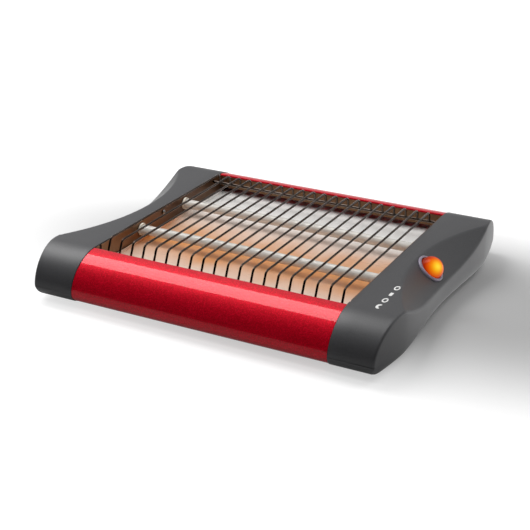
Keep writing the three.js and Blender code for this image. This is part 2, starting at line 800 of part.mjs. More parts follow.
function bentWire(x) {
  const path = [
    [-frontRodReach, frontRodHeight],
    [-rackFlatReachFront - rackBendFront, rackHeight - rackBendDrop],
    [-rackFlatReachFront, rackHeight],
    [rackFlatReachBack, rackHeight],
    [rackFlatReachBack + rackBendBack, rackHeight - rackBendDrop],
    [backRodReach, backRodHeight],
  ].map(([y, z]) => new THREE.Vector2(y, z));
  const rings = path.map((point, i) => {
    const before = path[Math.max(i - 1, 0)];
    const after = path[Math.min(i + 1, path.length - 1)];
    const incoming = new THREE.Vector2().subVectors(point, before).normalize();
    const outgoing = new THREE.Vector2().subVectors(after, point).normalize();
    const along = new THREE.Vector2().addVectors(incoming, outgoing).normalize();
    const straight = i === 0 ? outgoing : incoming;
    const stretch = 1 / Math.abs(along.dot(straight));
    const across = new THREE.Vector2(-along.y, along.x).multiplyScalar(stretch * wireDiameter / 2);
    const ring = [];
    for (let k = 0; k < wireSides; k += 1) {
      const angle = 2 * Math.PI * (k + 1 / 2) / wireSides;
      const sideways = Math.cos(angle) * wireDiameter / 2;
      const lift = Math.sin(angle);
      ring.push(new THREE.Vector3(x + sideways, point.x + across.x * lift, point.y + across.y * lift));
    }
    return ring;
  });
  return loft(rings);
}

function wireRack() {
  const wires = [];
  for (let i = 0; i <= wireGaps; i += 1) {
    wires.push(bentWire(wireFirst + i * wirePitch));
  }
  const half = railEnd;
  const frontRod = rodAlongX([-half, half], -frontRodReach, frontRodHeight, crossRodDiameter, wireSides * 2);
  const backRod = rodAlongX([-half, half], backRodReach, backRodHeight, crossRodDiameter, wireSides * 2);
  return join(frontRod, backRod, ...wires);
}

place('wire_rack', wireRack(), finishes.wireSteel);

// Quartz heaters, each a tube with a coil inside, held by a ceramic end in each heat shield

const heaterHalf = railEnd + heaterEndOverrun;
const ceramicStart = shieldInner - clearance - ceramicFlangeThickness;
const ceramicBore = heaterDiameter + 2 * clearance;
const ceramicEnd = ceramicStart + ceramicLength;
const tailEnd = ceramicEnd + coilTailProud;

function quartzTube() {
  const outer = heaterDiameter / 2;
  const inner = outer - heaterWall;
  return turned([
    [inner, -heaterHalf],
    [outer, -heaterHalf],
    [outer, heaterHalf],
    [inner, heaterHalf],
    [inner, -heaterHalf],
  ]).rotateY(Math.PI / 2);
}

function heaterCoil() {
  const half = heaterHalf - coilEndMargin;
  const tail = coilTailDiameter / 2;
  const body = coilDiameter / 2;
  return turned([
    [0, -tailEnd],
    [tail, -tailEnd],
    [tail, -half],
    [body, -half],
    [body, half],
    [tail, half],
    [tail, tailEnd],
    [0, tailEnd],
  ], roundSides / 2).rotateY(Math.PI / 2);
}

function ceramicHolder() {
  const flange = ceramicFlangeDiameter / 2;
  const groove = ceramicGrooveDiameter / 2;
  const grooveEnd = railEnd + clearance;
  const seat = ceramicEnd - ceramicEndThickness;
  const hole = coilTailDiameter / 2 + clearance;
  return turned([
    [ceramicBore / 2, ceramicStart],
    [flange, ceramicStart],
    [flange, shieldInner - clearance],
    [groove, shieldInner - clearance],
    [groove, grooveEnd],
    [flange, grooveEnd],
    [flange, ceramicEnd],
    [hole, ceramicEnd],
    [hole, seat],
    [ceramicBore / 2, seat],
    [ceramicBore / 2, ceramicStart],
  ], wireSides * 2).rotateY(Math.PI / 2);
}

const tube = quartzTube();
const coil = heaterCoil();
const holder = ceramicHolder();
for (const [row, way] of [['front', -1], ['back', 1]]) {
  const heater = new THREE.Group();
  heater.position.set(0, way * heaterReach, heaterHeight);
  toaster.add(heater);
  place(`${row}_quartz_tube`, tube, finishes.quartz, heater);
  place(`${row}_heater_coil`, coil, finishes.coilWire, heater);
  place(`${row}_right_ceramic_end`, holder, finishes.ceramic, heater);
  place(`${row}_left_ceramic_end`, mirrored(holder), finishes.ceramic, heater);
}

// Rocker switch, built upright and then laid on the slope of the scoop

const pocketRadius = barrelDiameter / 2 - barrelWall;
const rockerRadius = pocketRadius - rockerGap;
const pivotHeight = -pivotDepth;

function switchHousing() {
  const barrel = barrelDiameter / 2;
  const bezel = bezelDiameter / 2;
  const body = turned([
    [0, -barrelLength],
    [barrel, -barrelLength],
    [barrel, 0],
    [bezel, 0],
    [bezel, bezelThickness - bezelChamfer],
    [bezel - bezelChamfer, bezelThickness],
    [pocketRadius, bezelThickness],
    [pocketRadius, -pocketDepth],
    [0, -pocketDepth],
  ]);
  const reach = barrelDiameter / 2 + cutOverrun;
  return cut(body, rodAlongY(0, [-reach, reach], pivotHeight, pivotDiameter + 2 * clearance, wireSides * 2));
}

function switchRocker() {
  const profile = [
    [0, -rockerSkirtDepth],
    [rockerRadius, -rockerSkirtDepth],
    [rockerRadius, rockerEdgeHeight],
  ];
  for (let i = 1; i <= noseSteps; i += 1) {
    const angle = Math.PI / 2 * i / noseSteps;
    const rise = (rockerDomeHeight - rockerEdgeHeight) * Math.sin(angle);
    profile.push([i === noseSteps ? 0 : rockerRadius * Math.cos(angle), rockerEdgeHeight + rise]);
  }
  const pinReach = pocketRadius + barrelWall / 2;
  const pin = rodAlongY(0, [-pinReach, pinReach], 0, pivotDiameter, wireSides * 2);
  return join(turned(profile).translate(0, 0, -pivotHeight), pin);
}

toaster.add(switchSeat);
place('switch_housing', switchHousing(), finishes.bezelPlastic, switchSeat);
const rocker = place('switch_rocker', switchRocker(), finishes.amberLens, switchSeat);
rocker.position.z = pivotHeight;
rocker.rotation.y = rockerTilt;
const lampHeight = clearance + lampDiameter / 2 - pocketDepth;
const lampSpan = [-lampLength / 2, lampLength / 2];
const lamp = rodAlongY(0, lampSpan, lampHeight, lampDiameter, wireSides * 2);
place('switch_lamp', lamp, finishes.quartz, switchSeat);
const bladeTop = -barrelLength - clearance;
const bladeAcross = [-bladeThickness / 2, bladeThickness / 2];
const blade = box(bladeAcross, [-bladeWidth / 2, bladeWidth / 2], [-bladeLength, 0]);
for (const [name, step] of [['front', -1], ['middle', 0], ['back', 1]]) {
  const part = place(`switch_terminal_${name}`, blade, finishes.brass, switchSeat);
  part.position.set(0, step * bladePitch, bladeTop);
}

// Cord gland in the back of the right cap, and the terminal block on its cover

function cordGland() {
  const flange = glandFlangeDiameter / 2;
  const neck = glandNeckDiameter / 2;
  const bore = glandBoreDiameter / 2;
  const seat = clearance;
  const outer = clearance + glandFlangeThickness;
  return turned([
    [bore, -glandLength],
    [neck, -glandLength],
    [neck, seat],
    [flange, seat],
    [flange, outer],
    [bore, outer],
    [bore, -glandLength],
  ]).rotateX(-Math.PI / 2);
}

const gland = place('cord_gland', cordGland(), finishes.rubber);
gland.position.set(glandX, glandFace, glandHeight);

function terminalBlock() {
  const half = blockWidth / 2;
  const base = box([-half, half], [-blockLength / 2, blockLength / 2], [0, blockHeight - blockRidge]);
  const ridge = (blockLength - 2 * blockRidge) / 3;
  const ridges = [-1, 0, 1].map((step) => {
    const y = step * (ridge + blockRidge / 2);
    return box([-half / 2, half / 2], [y - ridge / 2, y + ridge / 2], [0, blockHeight]);
  });
  return join(base, ...ridges);
}

const block = place('terminal_block', terminalBlock(), finishes.nylon);
const blockReach = bossReach - blockBossGap;
block.position.set(bossX, blockReach, coverTop + clearance);

// Insulated leads: across the left cap, and from the heaters to the switch and the block

function inSeat(x, y, z) {
  return new THREE.Vector3(x, y, z).applyMatrix4(switchSeat.matrix);
}

const leadStart = tailEnd + leadDiameter / 2;
const leadSteps = 16;
const bladeTip = bladeTop - bladeLength - leadDiameter / 4;
const blockTop = coverTop + clearance + blockHeight + clearance;

// A lead's middle points are shares: of the tail's place across, of a reach along, and of the rise from the
// cover to the heaters
function lead(name, side, reach, start, routeShares, end) {
  const middle = routeShares.map(([x, y, z]) => {
    const height = THREE.MathUtils.lerp(coverTop, heaterHeight, z);
    return new THREE.Vector3(side * leadStart * x, reach * y, height);
  });
  const geometry = tubeAlong([...start, ...middle, ...end], leadDiameter, wireSides, leadSteps);
  place(name, geometry, finishes.leadSleeve);
}

function heaterTail(side, way) {
  return new THREE.Vector3(side * leadStart, way * heaterReach, heaterHeight);
}

function bladeEnd(step) {
  return [inSeat(0, step * bladePitch, bladeTip - leadDiameter), inSeat(0, step * bladePitch, bladeTip)];
}

function blockEnd(way) {
  return new THREE.Vector3(bossX, blockReach + way * blockWidth / 2, blockTop);
}

const linkShares = [
  [1.031, -0.927, 0.874],
  [1.017, -0.537, 0.56],
  [0.996, 0, 0.434],
  [1.017, 0.537, 0.56],
  [1.031, 0.927, 0.874],
];
const frontLeadShares = [
  [1.038, -0.976, 0.874],
  [1.045, -0.683, 0.434],
  [1.017, -0.293, 0.182],
];
const backLeadShares = [
  [1.038, 0.352, 0.937],
  [1.072, 0.48, 0.78],
  [1.086, 0.64, 0.654],
  [1.079, 0.784, 0.591],
  [1.052, 0.853, 0.528],
];
const feedLeadShares = [
  [1.042, 0.725, 0.497],
  [1.017, 0.624, 0.403],
  [0.982, 0.448, 0.151],
  [0.965, 0.272, 0.119],
];
lead('heater_link_lead', -1, heaterReach, [heaterTail(-1, -1)], linkShares, [heaterTail(-1, 1)]);
lead('front_heater_lead', 1, heaterReach, [heaterTail(1, -1)], frontLeadShares, bladeEnd(-1));
lead('back_heater_lead', 1, bossReach, [heaterTail(1, 1)], backLeadShares, [blockEnd(1)]);
lead('switch_feed_lead', 1, bossReach, [blockEnd(-1)], feedLeadShares, bladeEnd(1));

// Rubber feet, with the screws that hold each cover to its cap

function foot() {
  const outer = footDiameter / 2;
  const bore = screwHole / 2;
  const recess = footRecessDiameter / 2;
  const top = bodyBottom - clearance;
  return turned([
    [recess, 0],
    [outer - footTaper, 0],
    [outer, top],
    [bore, top],
    [bore, footRecessDepth],
    [recess, footRecessDepth],
    [recess, 0],
  ], wireSides * 2);
}

// A screw hangs below its seat: head under the seat, shaft up through it
function screw(length, headDiameter) {
  const shaft = screwShaft / 2;
  return turned([
    [0, -clearance - screwHeadHeight],
    [headDiameter / 2, -clearance - screwHeadHeight],
    [headDiameter / 2, -clearance],
    [shaft, -clearance],
    [shaft, length],
    [0, length],
  ], roundSides / 2);
}

const longScrew = screw(longScrewLength, screwHeadDiameter);
const shortScrew = screw(shortScrewLength, smallScrewHead);
const footShape = foot();
for (const [side, x] of [['left', -bossX], ['right', bossX]]) {
  for (const [row, way] of [['front', -1], ['back', 1]]) {
    place(`${row}_${side}_foot`, footShape, finishes.rubber).position.set(x, way * bossReach, 0);
    const held = place(`${row}_${side}_cap_screw`, longScrew, finishes.plainSteel);
    held.position.set(x, way * bossReach, footRecessDepth);
    const railScrew = place(`${row}_${side}_rail_screw`, shortScrew, finishes.plainSteel);
    const railX = Math.sign(x) * (railEnd - railScrewInset);
    railScrew.position.set(railX, railScrewY(way), way < 0 ? baseBottom : railSplitHeight);
    const baseScrew = place(`${row}_${side}_base_screw`, shortScrew, finishes.plainSteel);
    baseScrew.position.set(Math.sign(x) * baseScrewX, way * baseScrewReach, baseBottom);
  }
  const shieldScrew = place(`${side}_shield_screw`, shortScrew, finishes.plainSteel);
  shieldScrew.position.set(Math.sign(x) * shieldInner, 0, shieldScrewHeight);
  shieldScrew.rotation.y = Math.sign(x) * Math.PI / 2;
}
for (const [side, x] of [['left', -1], ['right', 1]]) {
  const trayScrew = place(`${side}_tray_screw`, shortScrew, finishes.plainSteel);
  trayScrew.position.set(x * trayScrewSpan / 2, trayFlangeReach - sheet, trayScrewHeight);
  trayScrew.rotation.x = -Math.PI / 2;
}

export default toaster;
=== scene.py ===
# %% [markdown]
# Flat toaster
#
# A wire rack lies over two quartz heaters and a polished crumb tray, between two moulded end caps. The
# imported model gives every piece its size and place. This script keeps that frame and makes the surfaces:
# finer meshes where a curve shows, and a finish for each thing a person would touch.

# %% Load the frame
import json
import math

import bmesh
import bpy
from mathutils import Matrix, Vector

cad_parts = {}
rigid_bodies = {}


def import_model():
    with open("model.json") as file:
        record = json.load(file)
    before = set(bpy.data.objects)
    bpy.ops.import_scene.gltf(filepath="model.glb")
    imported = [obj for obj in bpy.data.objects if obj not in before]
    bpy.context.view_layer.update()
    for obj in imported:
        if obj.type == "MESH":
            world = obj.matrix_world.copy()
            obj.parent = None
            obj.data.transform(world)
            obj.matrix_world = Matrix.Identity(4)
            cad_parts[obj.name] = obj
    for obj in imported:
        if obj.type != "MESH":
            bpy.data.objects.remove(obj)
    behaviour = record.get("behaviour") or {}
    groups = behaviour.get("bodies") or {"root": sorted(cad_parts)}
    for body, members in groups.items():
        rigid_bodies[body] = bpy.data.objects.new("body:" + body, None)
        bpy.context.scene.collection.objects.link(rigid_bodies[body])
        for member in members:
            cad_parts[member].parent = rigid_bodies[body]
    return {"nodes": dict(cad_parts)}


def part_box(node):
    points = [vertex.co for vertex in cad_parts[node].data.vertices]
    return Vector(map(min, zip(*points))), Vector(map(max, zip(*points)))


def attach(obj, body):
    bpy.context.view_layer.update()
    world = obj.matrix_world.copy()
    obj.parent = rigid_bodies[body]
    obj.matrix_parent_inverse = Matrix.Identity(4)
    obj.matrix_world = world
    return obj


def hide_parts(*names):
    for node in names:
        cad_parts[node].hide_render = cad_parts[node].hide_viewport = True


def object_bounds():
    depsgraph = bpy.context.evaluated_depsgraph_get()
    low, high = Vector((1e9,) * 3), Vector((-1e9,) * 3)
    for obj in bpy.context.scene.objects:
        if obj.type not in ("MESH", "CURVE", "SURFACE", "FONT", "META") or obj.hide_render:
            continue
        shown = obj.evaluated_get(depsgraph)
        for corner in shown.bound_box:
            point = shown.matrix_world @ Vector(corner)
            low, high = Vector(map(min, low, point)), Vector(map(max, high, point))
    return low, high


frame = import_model()
cad_low, cad_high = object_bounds()

# %% [markdown]
# Sizes are in metres, as the frame is. Most of them are read from the boxes of the CAD nodes, so a piece
# that replaces a node has the node's size. The rest are the driving sizes of the curved forms, in
# millimetres.

# %% Read the main sizes
MM = 0.001
rail_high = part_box("front_rail")[1]
cap_low, cap_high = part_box("right_cap")
RAIL_END = rail_high.x
TOP = cap_high.z
BOTTOM = cap_low.z
NOSE_REACH = 158.5 * MM
NOSE_HEIGHT = 17 * MM
NOSE_POWER = 1.8
FLAT_REACH = NOSE_REACH - 40.5 * MM
UNDER_REACH = NOSE_REACH - 14 * MM
NOSE_TIP = cad_high.y - 0.01 * MM
NOSE_LENGTH = NOSE_TIP - FLAT_REACH
UNDERCUT = NOSE_TIP - UNDER_REACH
print("rail end", round(RAIL_END, 4), "top", round(TOP, 4), "bottom", round(BOTTOM, 4))

# %% [markdown]
# Three small helpers do the work of many. One turns the hex colour that a designer would write into the
# linear numbers that the renderer adds up. One adds a node with its settings, values and links, so a
# material reads as a list of what it is made of. One lets patterns drive what a surface shows: its
# colour, how sharply it mirrors, and the depth of its skin in real metres.

# %% Helpers for colours and nodes
def srgb(hex_colour, alpha=1.0):
    channels = [int(hex_colour[i:i + 2], 16) / 255 for i in (1, 3, 5)]
    linear = [c / 12.92 if c <= 0.04045 else ((c + 0.055) / 1.055) ** 2.4 for c in channels]
    return (*linear, alpha)


def add_node(tree, kind, values=None, stops=(), **settings):
    """Adds a node, with a value, a link or a list of links for each socket, and a ramp's stops."""
    node = tree.nodes.new(kind)
    for name, value in settings.items():
        setattr(node, name, value)
    for socket, value in (values or {}).items():
        if isinstance(value, (list, bpy.types.NodeSocket)):
            for source in value if isinstance(value, list) else [value]:
                tree.links.new(source, node.inputs[socket])
        else:
            node.inputs[socket].default_value = value
    if stops:
        points = node.color_ramp.elements
        while len(points) < len(stops):
            points.new(0.5)
        for point, (at, colour) in zip(points, stops):
            point.position = at
            point.color = srgb(colour)
    return node


def per_size(millimetres):
    """Texture scale at which one cell of a pattern is this long."""
    return 1 / (millimetres * MM)


def start_material(name, **sockets):
    material = bpy.data.materials.new(name)
    material.use_nodes = True
    tree = material.node_tree
    shader = tree.nodes["Principled BSDF"]
    for socket, value in sockets.items():
        shader.inputs[socket.replace("_", " ")].default_value = value
    place = add_node(tree, "ShaderNodeTexCoord").outputs["Object"]
    return material, tree, shader, place


def dress(tree, shader, tint=None, gloss=None, relief=None):
    """Patterns drive a surface: tint by colour stops, gloss from low to high, relief by depth."""
    if tint:
        colours = add_node(tree, "ShaderNodeValToRGB", {"Fac": tint[0]}, tint[1])
        tree.links.new(colours.outputs["Color"], shader.inputs["Base Color"])
    if gloss:
        levels = {"Value": gloss[0], "To Min": gloss[1], "To Max": gloss[2]}
        sharpness = add_node(tree, "ShaderNodeMapRange", levels)
        tree.links.new(sharpness.outputs["Result"], shader.inputs["Roughness"])
    if relief:
        skin = {"Height": relief[0], "Strength": relief[1], "Distance": relief[2]}
        tree.links.new(add_node(tree, "ShaderNodeBump", skin).outputs["Normal"], shader.inputs["Normal"])


print("mid grey is", round(srgb("#808080")[0], 3), "in linear numbers")

# %% [markdown]
# The end caps are moulded ABS with a fine spark-eroded skin. The skin scatters light, so the caps look
# satin and never glossy, and a slow drift in the gloss keeps large faces from looking printed. The real
# grain is about 0.2 mm; it is drawn at 0.9 mm, which is the finest that shows.

# %% Cap plastic
def moulded_plastic(name, colour, second, roughness, grain):
    material, tree, shader, place = start_material(name, IOR=1.54, Specular_IOR_Level=0.5)
    drift = add_node(tree, "ShaderNodeTexNoise", {"Vector": place, "Scale": per_size(70), "Detail": 3.0})
    skin = add_node(tree, "ShaderNodeTexNoise", {"Vector": place, "Scale": per_size(grain), "Detail": 2.0})
    dress(
        tree, shader, tint=(skin.outputs["Fac"], [(0.3, colour), (0.75, second)]),
        gloss=(drift.outputs["Fac"], roughness - 0.05, roughness + 0.05),
        relief=(skin.outputs["Fac"], 0.35, 0.05 * MM),
    )
    return material


cap_plastic = moulded_plastic("cap_moulded_abs", "#3a3a3c", "#424244", 0.44, 0.9)
print("made", cap_plastic.name)

# %% [markdown]
# The rails are steel sheet under a metallic lacquer: a red coat with aluminium flake, and a clear coat on
# top. Each flake takes its own shade of red and tips a little its own way, which gives the fine sparkle.
# The clear coat gives the hard edge of the lamp's reflection. The real flake is about 0.05 mm; it is
# drawn at 0.7 mm to show at all.

# %% Red lacquer
def flake_lacquer(name):
    material, tree, shader, place = start_material(
        name, Metallic=0.35, Roughness=0.42, Specular_IOR_Level=0.1,
        Coat_Weight=0.5, Coat_Roughness=0.03, Coat_IOR=1.5,
    )
    flake = add_node(tree, "ShaderNodeTexVoronoi", {"Vector": place, "Scale": per_size(0.7)}).outputs["Color"]
    reds = [(0.15, "#b40018"), (0.6, "#d00020"), (0.95, "#ea0c30")]
    dress(tree, shader, tint=(flake, reds), relief=(flake, 0.04, 0.02 * MM))
    return material


red_lacquer = flake_lacquer("rail_metallic_lacquer")
print("made", red_lacquer.name)

# %% [markdown]
# The tray, the heat shields and the walls are bright rolled sheet. Rolling leaves fine lines along the
# sheet, and thin sheet is never quite flat, so its mirror bends what it shows. The tray's straw tint in
# its front half is a painted warm reflection. Heat turns the walls brown, and the back wall and the
# shields are drawn darker still, which is painted shade. A used tray is covered in fine scratches that
# scatter most of its light, so it is only slightly metallic here and looks pale and even. The lines are
# drawn 0.8 mm apart, several times the real spacing, to show.

# %% Polished sheet
def polished_sheet(name, clean, tinted, roughness, wave_depth, tint_at, tint_reach, metallic=1.0):
    material, tree, shader, place = start_material(name, Metallic=metallic)
    along = {"Vector": place, "Scale": (0.03, 1.0, 1.0)}
    rolled = add_node(tree, "ShaderNodeMapping", along).outputs["Vector"]
    lines = add_node(tree, "ShaderNodeTexNoise", {"Vector": rolled, "Scale": per_size(0.8)}).outputs["Fac"]
    slow = {"Vector": place, "Scale": per_size(34), "Detail": 1.0}
    waves = add_node(tree, "ShaderNodeTexNoise", slow).outputs["Fac"]
    # The tint fades with distance from one depth: on the tray it is a painted warm reflection, on the walls
    # heat tint.
    depth = add_node(tree, "ShaderNodeSeparateXYZ", {"Vector": place}).outputs["Y"]
    away = add_node(tree, "ShaderNodeMath", {0: depth, 1: tint_at}, operation="SUBTRACT").outputs[0]
    near = add_node(tree, "ShaderNodeMath", {0: away}, operation="ABSOLUTE").outputs[0]
    fade = {"Value": near, "From Min": 0.0, "From Max": tint_reach, "To Min": 1.0, "To Max": 0.0}
    tint_strength = add_node(tree, "ShaderNodeMapRange", fade).outputs["Result"]
    uneven = {"Value": waves, "To Min": 0.5, "To Max": 1.1}
    patches = add_node(tree, "ShaderNodeMapRange", uneven).outputs["Result"]
    mottle = add_node(tree, "ShaderNodeMath", {0: tint_strength, 1: patches}, operation="MULTIPLY").outputs[0]
    skin = add_node(tree, "ShaderNodeMath", {0: lines, 1: 0.02, 2: waves}, operation="MULTIPLY_ADD")
    dress(
        tree, shader, tint=(mottle, [(0.0, clean), (0.7, tinted)]),
        gloss=(lines, roughness * 0.7, roughness * 1.4), relief=(skin.outputs[0], 1.0, wave_depth),
    )
    return material


back_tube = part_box("back_quartz_tube")
HEATER_REACH = back_tube[1].y / 2 + back_tube[0].y / 2
# The tray's straw tint in its front half is a painted warm reflection.
tray_steel = polished_sheet(
    "tray_bright_steel", "#fdfbf8", "#e8a060", 0.3, 0.2 * MM, -26 * MM, 90 * MM, metallic=0.15,
)
wall_steel = polished_sheet(
    "wall_heat_tinted_steel", "#c49a70", "#94623c", 0.36, 0.15 * MM, HEATER_REACH, 160 * MM, metallic=0.8,
)
# The back wall and the shields get this darker copy of the wall finish, which is painted shade.
tint_and_painted_shade_steel = polished_sheet(
    "back_wall_smoked_steel", "#8c6c50", "#5c3e28", 0.36, 0.15 * MM, HEATER_REACH, 160 * MM, metallic=0.8,
)
plain_steel = polished_sheet("base_galvanised_steel", "#a3a5a6", "#8f9193", 0.38, 0.05 * MM, 0.0, 60 * MM)
print("heaters at", round(HEATER_REACH, 4))

# %% [markdown]
# The rack is drawn steel wire with a nickel-chrome plate. The plate stays smooth, and it is drawn dark
# brown, nearly black, as a painted dark reflection, so only thin highlights are left and the colour drifts
# along each wire. Screws are zinc-plated steel, the switch's blades are stamped brass, and the coils are
# resistance alloy that has oxidised brown.

# %% Plated wire and other small metals
def plated_metal(name, bright, dull, roughness, patch):
    material, tree, shader, place = start_material(name, Metallic=1.0)
    stain = add_node(tree, "ShaderNodeTexNoise", {"Vector": place, "Scale": per_size(patch), "Detail": 4.0})
    fine = add_node(tree, "ShaderNodeTexNoise", {"Vector": place, "Scale": per_size(1.5)})
    dress(
        tree, shader, tint=(stain.outputs["Fac"], [(0.35, bright), (0.7, dull)]),
        gloss=(stain.outputs["Fac"], roughness * 0.7, roughness * 1.3),
        relief=(fine.outputs["Fac"], 0.15, 0.03 * MM),
    )
    return material


# The rack's dark brown, nearly black colour is a painted dark reflection.
rack_chrome = plated_metal("rack_nickel_chrome", "#5e544e", "#3a2e27", 0.2, 25)
screw_zinc = plated_metal("screw_zinc_plate", "#b6b8ba", "#8c8e90", 0.3, 4)
contact_brass = plated_metal("contact_brass", "#c9a44e", "#a07a30", 0.32, 6)
coil_alloy = plated_metal("coil_oxidised_alloy", "#5c4636", "#3c2a20", 0.5, 5)
print("made", [metal.name for metal in (rack_chrome, screw_zinc, contact_brass, coil_alloy)])

# %% [markdown]
# Quartz tubes for grills are satin: full of fine drawn bubbles. They look milky white, and only a quarter
# of the light goes straight through, so the coil is a faint darker core. Steatite ends are fired and
# unglazed, off-white with a dry surface.

# %% Quartz, steatite, rubber and small plastics
def milky_quartz(name):
    material, tree, shader, place = start_material(
        name, IOR=1.46, Transmission_Weight=0.25, Base_Color=srgb("#fbf7f0"),
    )
    along = {"Vector": place, "Scale": (0.08, 1.0, 1.0)}
    drawn = add_node(tree, "ShaderNodeMapping", along).outputs["Vector"]
    bubbles = add_node(tree, "ShaderNodeTexNoise", {"Vector": drawn, "Scale": per_size(1.2)}).outputs["Fac"]
    dress(tree, shader, gloss=(bubbles, 0.12, 0.26), relief=(bubbles, 0.3, 0.05 * MM))
    return material


def dull_material(name, colour, second, roughness, grain, depth):
    material, tree, shader, place = start_material(name, IOR=1.5)
    size = {"Vector": place, "Scale": per_size(grain), "Detail": 3.0}
    grains = add_node(tree, "ShaderNodeTexNoise", size).outputs["Fac"]
    dress(
        tree, shader, tint=(grains, [(0.3, colour), (0.7, second)]),
        gloss=(grains, roughness - 0.06, roughness + 0.06), relief=(grains, 0.4, depth),
    )
    return material


quartz = milky_quartz("heater_satin_quartz")
steatite = dull_material("holder_steatite", "#e9e2d2", "#f3ede0", 0.62, 1.4, 0.05 * MM)
rubber = dull_material("foot_nitrile_rubber", "#1b1b1c", "#262626", 0.8, 1.0, 0.06 * MM)
nylon = dull_material("block_natural_nylon", "#e4dfd0", "#efebdf", 0.48, 2.5, 0.03 * MM)
sleeve = dull_material("lead_glass_sleeve", "#e6dfcc", "#d6cdb6", 0.72, 0.9, 0.08 * MM)
bezel_plastic = dull_material("bezel_polished_nylon", "#887e90", "#968c9e", 0.3, 3.0, 0.01 * MM)
print_ink = dull_material("pad_print_ink", "#dcdcda", "#f2f2f0", 0.55, 0.8, 0.01 * MM)
print("made", [part.name for part in (quartz, steatite, rubber, nylon, sleeve, bezel_plastic, print_ink)])

# %% [markdown]
# The rocker's lens is clear amber polycarbonate over a lit neon lamp. Light leaves it most where the lamp
# lies under the thin middle: yellow there, orange around, red at the rim where the path through the
# plastic is long. Distance from the lamp's spot drives the colour and the strength of the glow.

# %% Lit amber lens
GLOW_STOPS = [
    (0.0, "#fff45c"), (0.22, "#ffd62c"), (0.45, "#ff960c"), (0.66, "#f05a0a"), (0.84, "#b02404"),
    (1.0, "#6a0c04"),
]


def lit_lens(name, spot, reach):
    material, tree, shader, place = start_material(name, IOR=1.58, Roughness=0.22, Specular_IOR_Level=0.07)
    step = add_node(tree, "ShaderNodeVectorMath", {0: place, 1: spot}, operation="DISTANCE").outputs["Value"]
    share = add_node(tree, "ShaderNodeMath", {0: step, 1: reach}, operation="DIVIDE").outputs[0]
    glow = add_node(tree, "ShaderNodeValToRGB", {"Fac": share}, GLOW_STOPS)
    power = add_node(tree, "ShaderNodeMapRange", {"Value": share, "To Min": 1.0, "To Max": 0.45})
    tree.links.new(glow.outputs["Color"], shader.inputs["Emission Color"])
    tree.links.new(power.outputs["Result"], shader.inputs["Emission Strength"])
    waves = {"Vector": place, "Scale": per_size(3), "Detail": 2.0}
    mould = add_node(tree, "ShaderNodeTexNoise", waves).outputs["Fac"]
    dress(
        tree, shader, tint=(mould, [(0.3, "#7a2202"), (0.7, "#8c2a04")]), relief=(mould, 0.08, 0.05 * MM),
    )
    return material


print("glow has", len(GLOW_STOPS), "stops")

# %% [markdown]
# Every piece is added by one function. It gets its mesh and its finish, rides on its body, and hides
# the CAD nodes that it stands for. A crease angle keeps the hard edges of a smooth mesh crisp.

# %% Helpers for pieces
def new_piece(name, mesh, material, body="housing", replaces=()):
    piece = bpy.data.objects.new(name, mesh)
    bpy.context.scene.collection.objects.link(piece)
    mesh.materials.clear()
    mesh.materials.append(material)
    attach(piece, body)
    if replaces:
        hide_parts(*replaces)
    return piece


def smooth(mesh, crease_degrees=32):
    mesh.polygons.foreach_set("use_smooth", [True] * len(mesh.polygons))
    mesh.set_sharp_from_angle(angle=math.radians(crease_degrees))
    return mesh


def mesh_from(bm, name):
    bmesh.ops.recalc_face_normals(bm, faces=bm.faces)
    mesh = bpy.data.meshes.new(name)
    bm.to_mesh(mesh)
    bm.free()
    return mesh


# %% [markdown]
# A loft joins rings of points into a closed skin, which suits a moulded shell whose section changes along
# its length. A lathe turns a profile about an axis. A rod is turned too, and then laid along its line.

# %% Lofts and turned shapes
def loft(name, rings):
    bm = bmesh.new()
    rows = [[bm.verts.new(point) for point in ring] for ring in rings]
    for near, far in zip(rows, rows[1:]):
        for i in range(len(near)):
            k = (i + 1) % len(near)
            bm.faces.new((near[i], near[k], far[k], far[i]))
    bm.faces.new(rows[0][::-1])
    bm.faces.new(rows[-1])
    bmesh.ops.remove_doubles(bm, verts=bm.verts, dist=1e-7)
    return mesh_from(bm, name)


def lathe(name, profile, sides=64):
    """Turns (radius, height) points about Z into a closed skin."""
    bm = bmesh.new()
    rings = []
    for radius, height in profile:
        angles = [2 * math.pi * i / sides for i in range(sides)]
        rings.append([bm.verts.new((radius * math.cos(a), radius * math.sin(a), height)) for a in angles])
    for near, far in zip(rings, rings[1:] + rings[:1]):
        for i in range(sides):
            k = (i + 1) % sides
            bm.faces.new((near[i], near[k], far[k], far[i]))
    bmesh.ops.remove_doubles(bm, verts=bm.verts, dist=1e-7)
    bmesh.ops.dissolve_degenerate(bm, edges=bm.edges, dist=1e-8)
    return mesh_from(bm, name)


def box_mesh(name, low, high):
    bm = bmesh.new()
    bmesh.ops.create_cube(bm, size=1)
    size, middle = Vector(high) - Vector(low), (Vector(high) + Vector(low)) / 2
    for vert in bm.verts:
        vert.co = Vector([c * s + m for c, s, m in zip(vert.co, size, middle)])
    return mesh_from(bm, name)


def rod_mesh(name, start, end, radius, sides=48):
    axis = Vector(end) - Vector(start)
    mesh = lathe(name, [(0, 0), (radius, 0), (radius, axis.length), (0, axis.length)], sides)
    mesh.transform(Matrix.Translation(start) @ axis.to_track_quat("Z", "Y").to_matrix().to_4x4())
    return mesh


print("loft, lathe, box and rod are ready")

# %% [markdown]
# The corners of an outline are rounded before it is turned or extruded. Solids are cut and joined by
# the manifold solver, which is exact enough for closed meshes and quick.

# %% Round corners, cut and join
def rounded(points, radii, steps=5):
    """The outline with each corner turned into an arc-like curve of about that radius."""
    outline = []
    count = len(points)
    for i, (corner, radius) in enumerate(zip(points, radii)):
        here = Vector(corner)
        before, after = Vector(points[i - 1]), Vector(points[(i + 1) % count])
        if radius <= 0:
            outline.append(here)
            continue
        back, on = before - here, after - here
        reach = min(radius, back.length * 0.49, on.length * 0.49)
        start, end = here + back.normalized() * reach, here + on.normalized() * reach
        for k in range(steps + 1):
            t = k / steps
            outline.append(start * (1 - t) ** 2 + here * 2 * t * (1 - t) + end * t * t)
    return outline


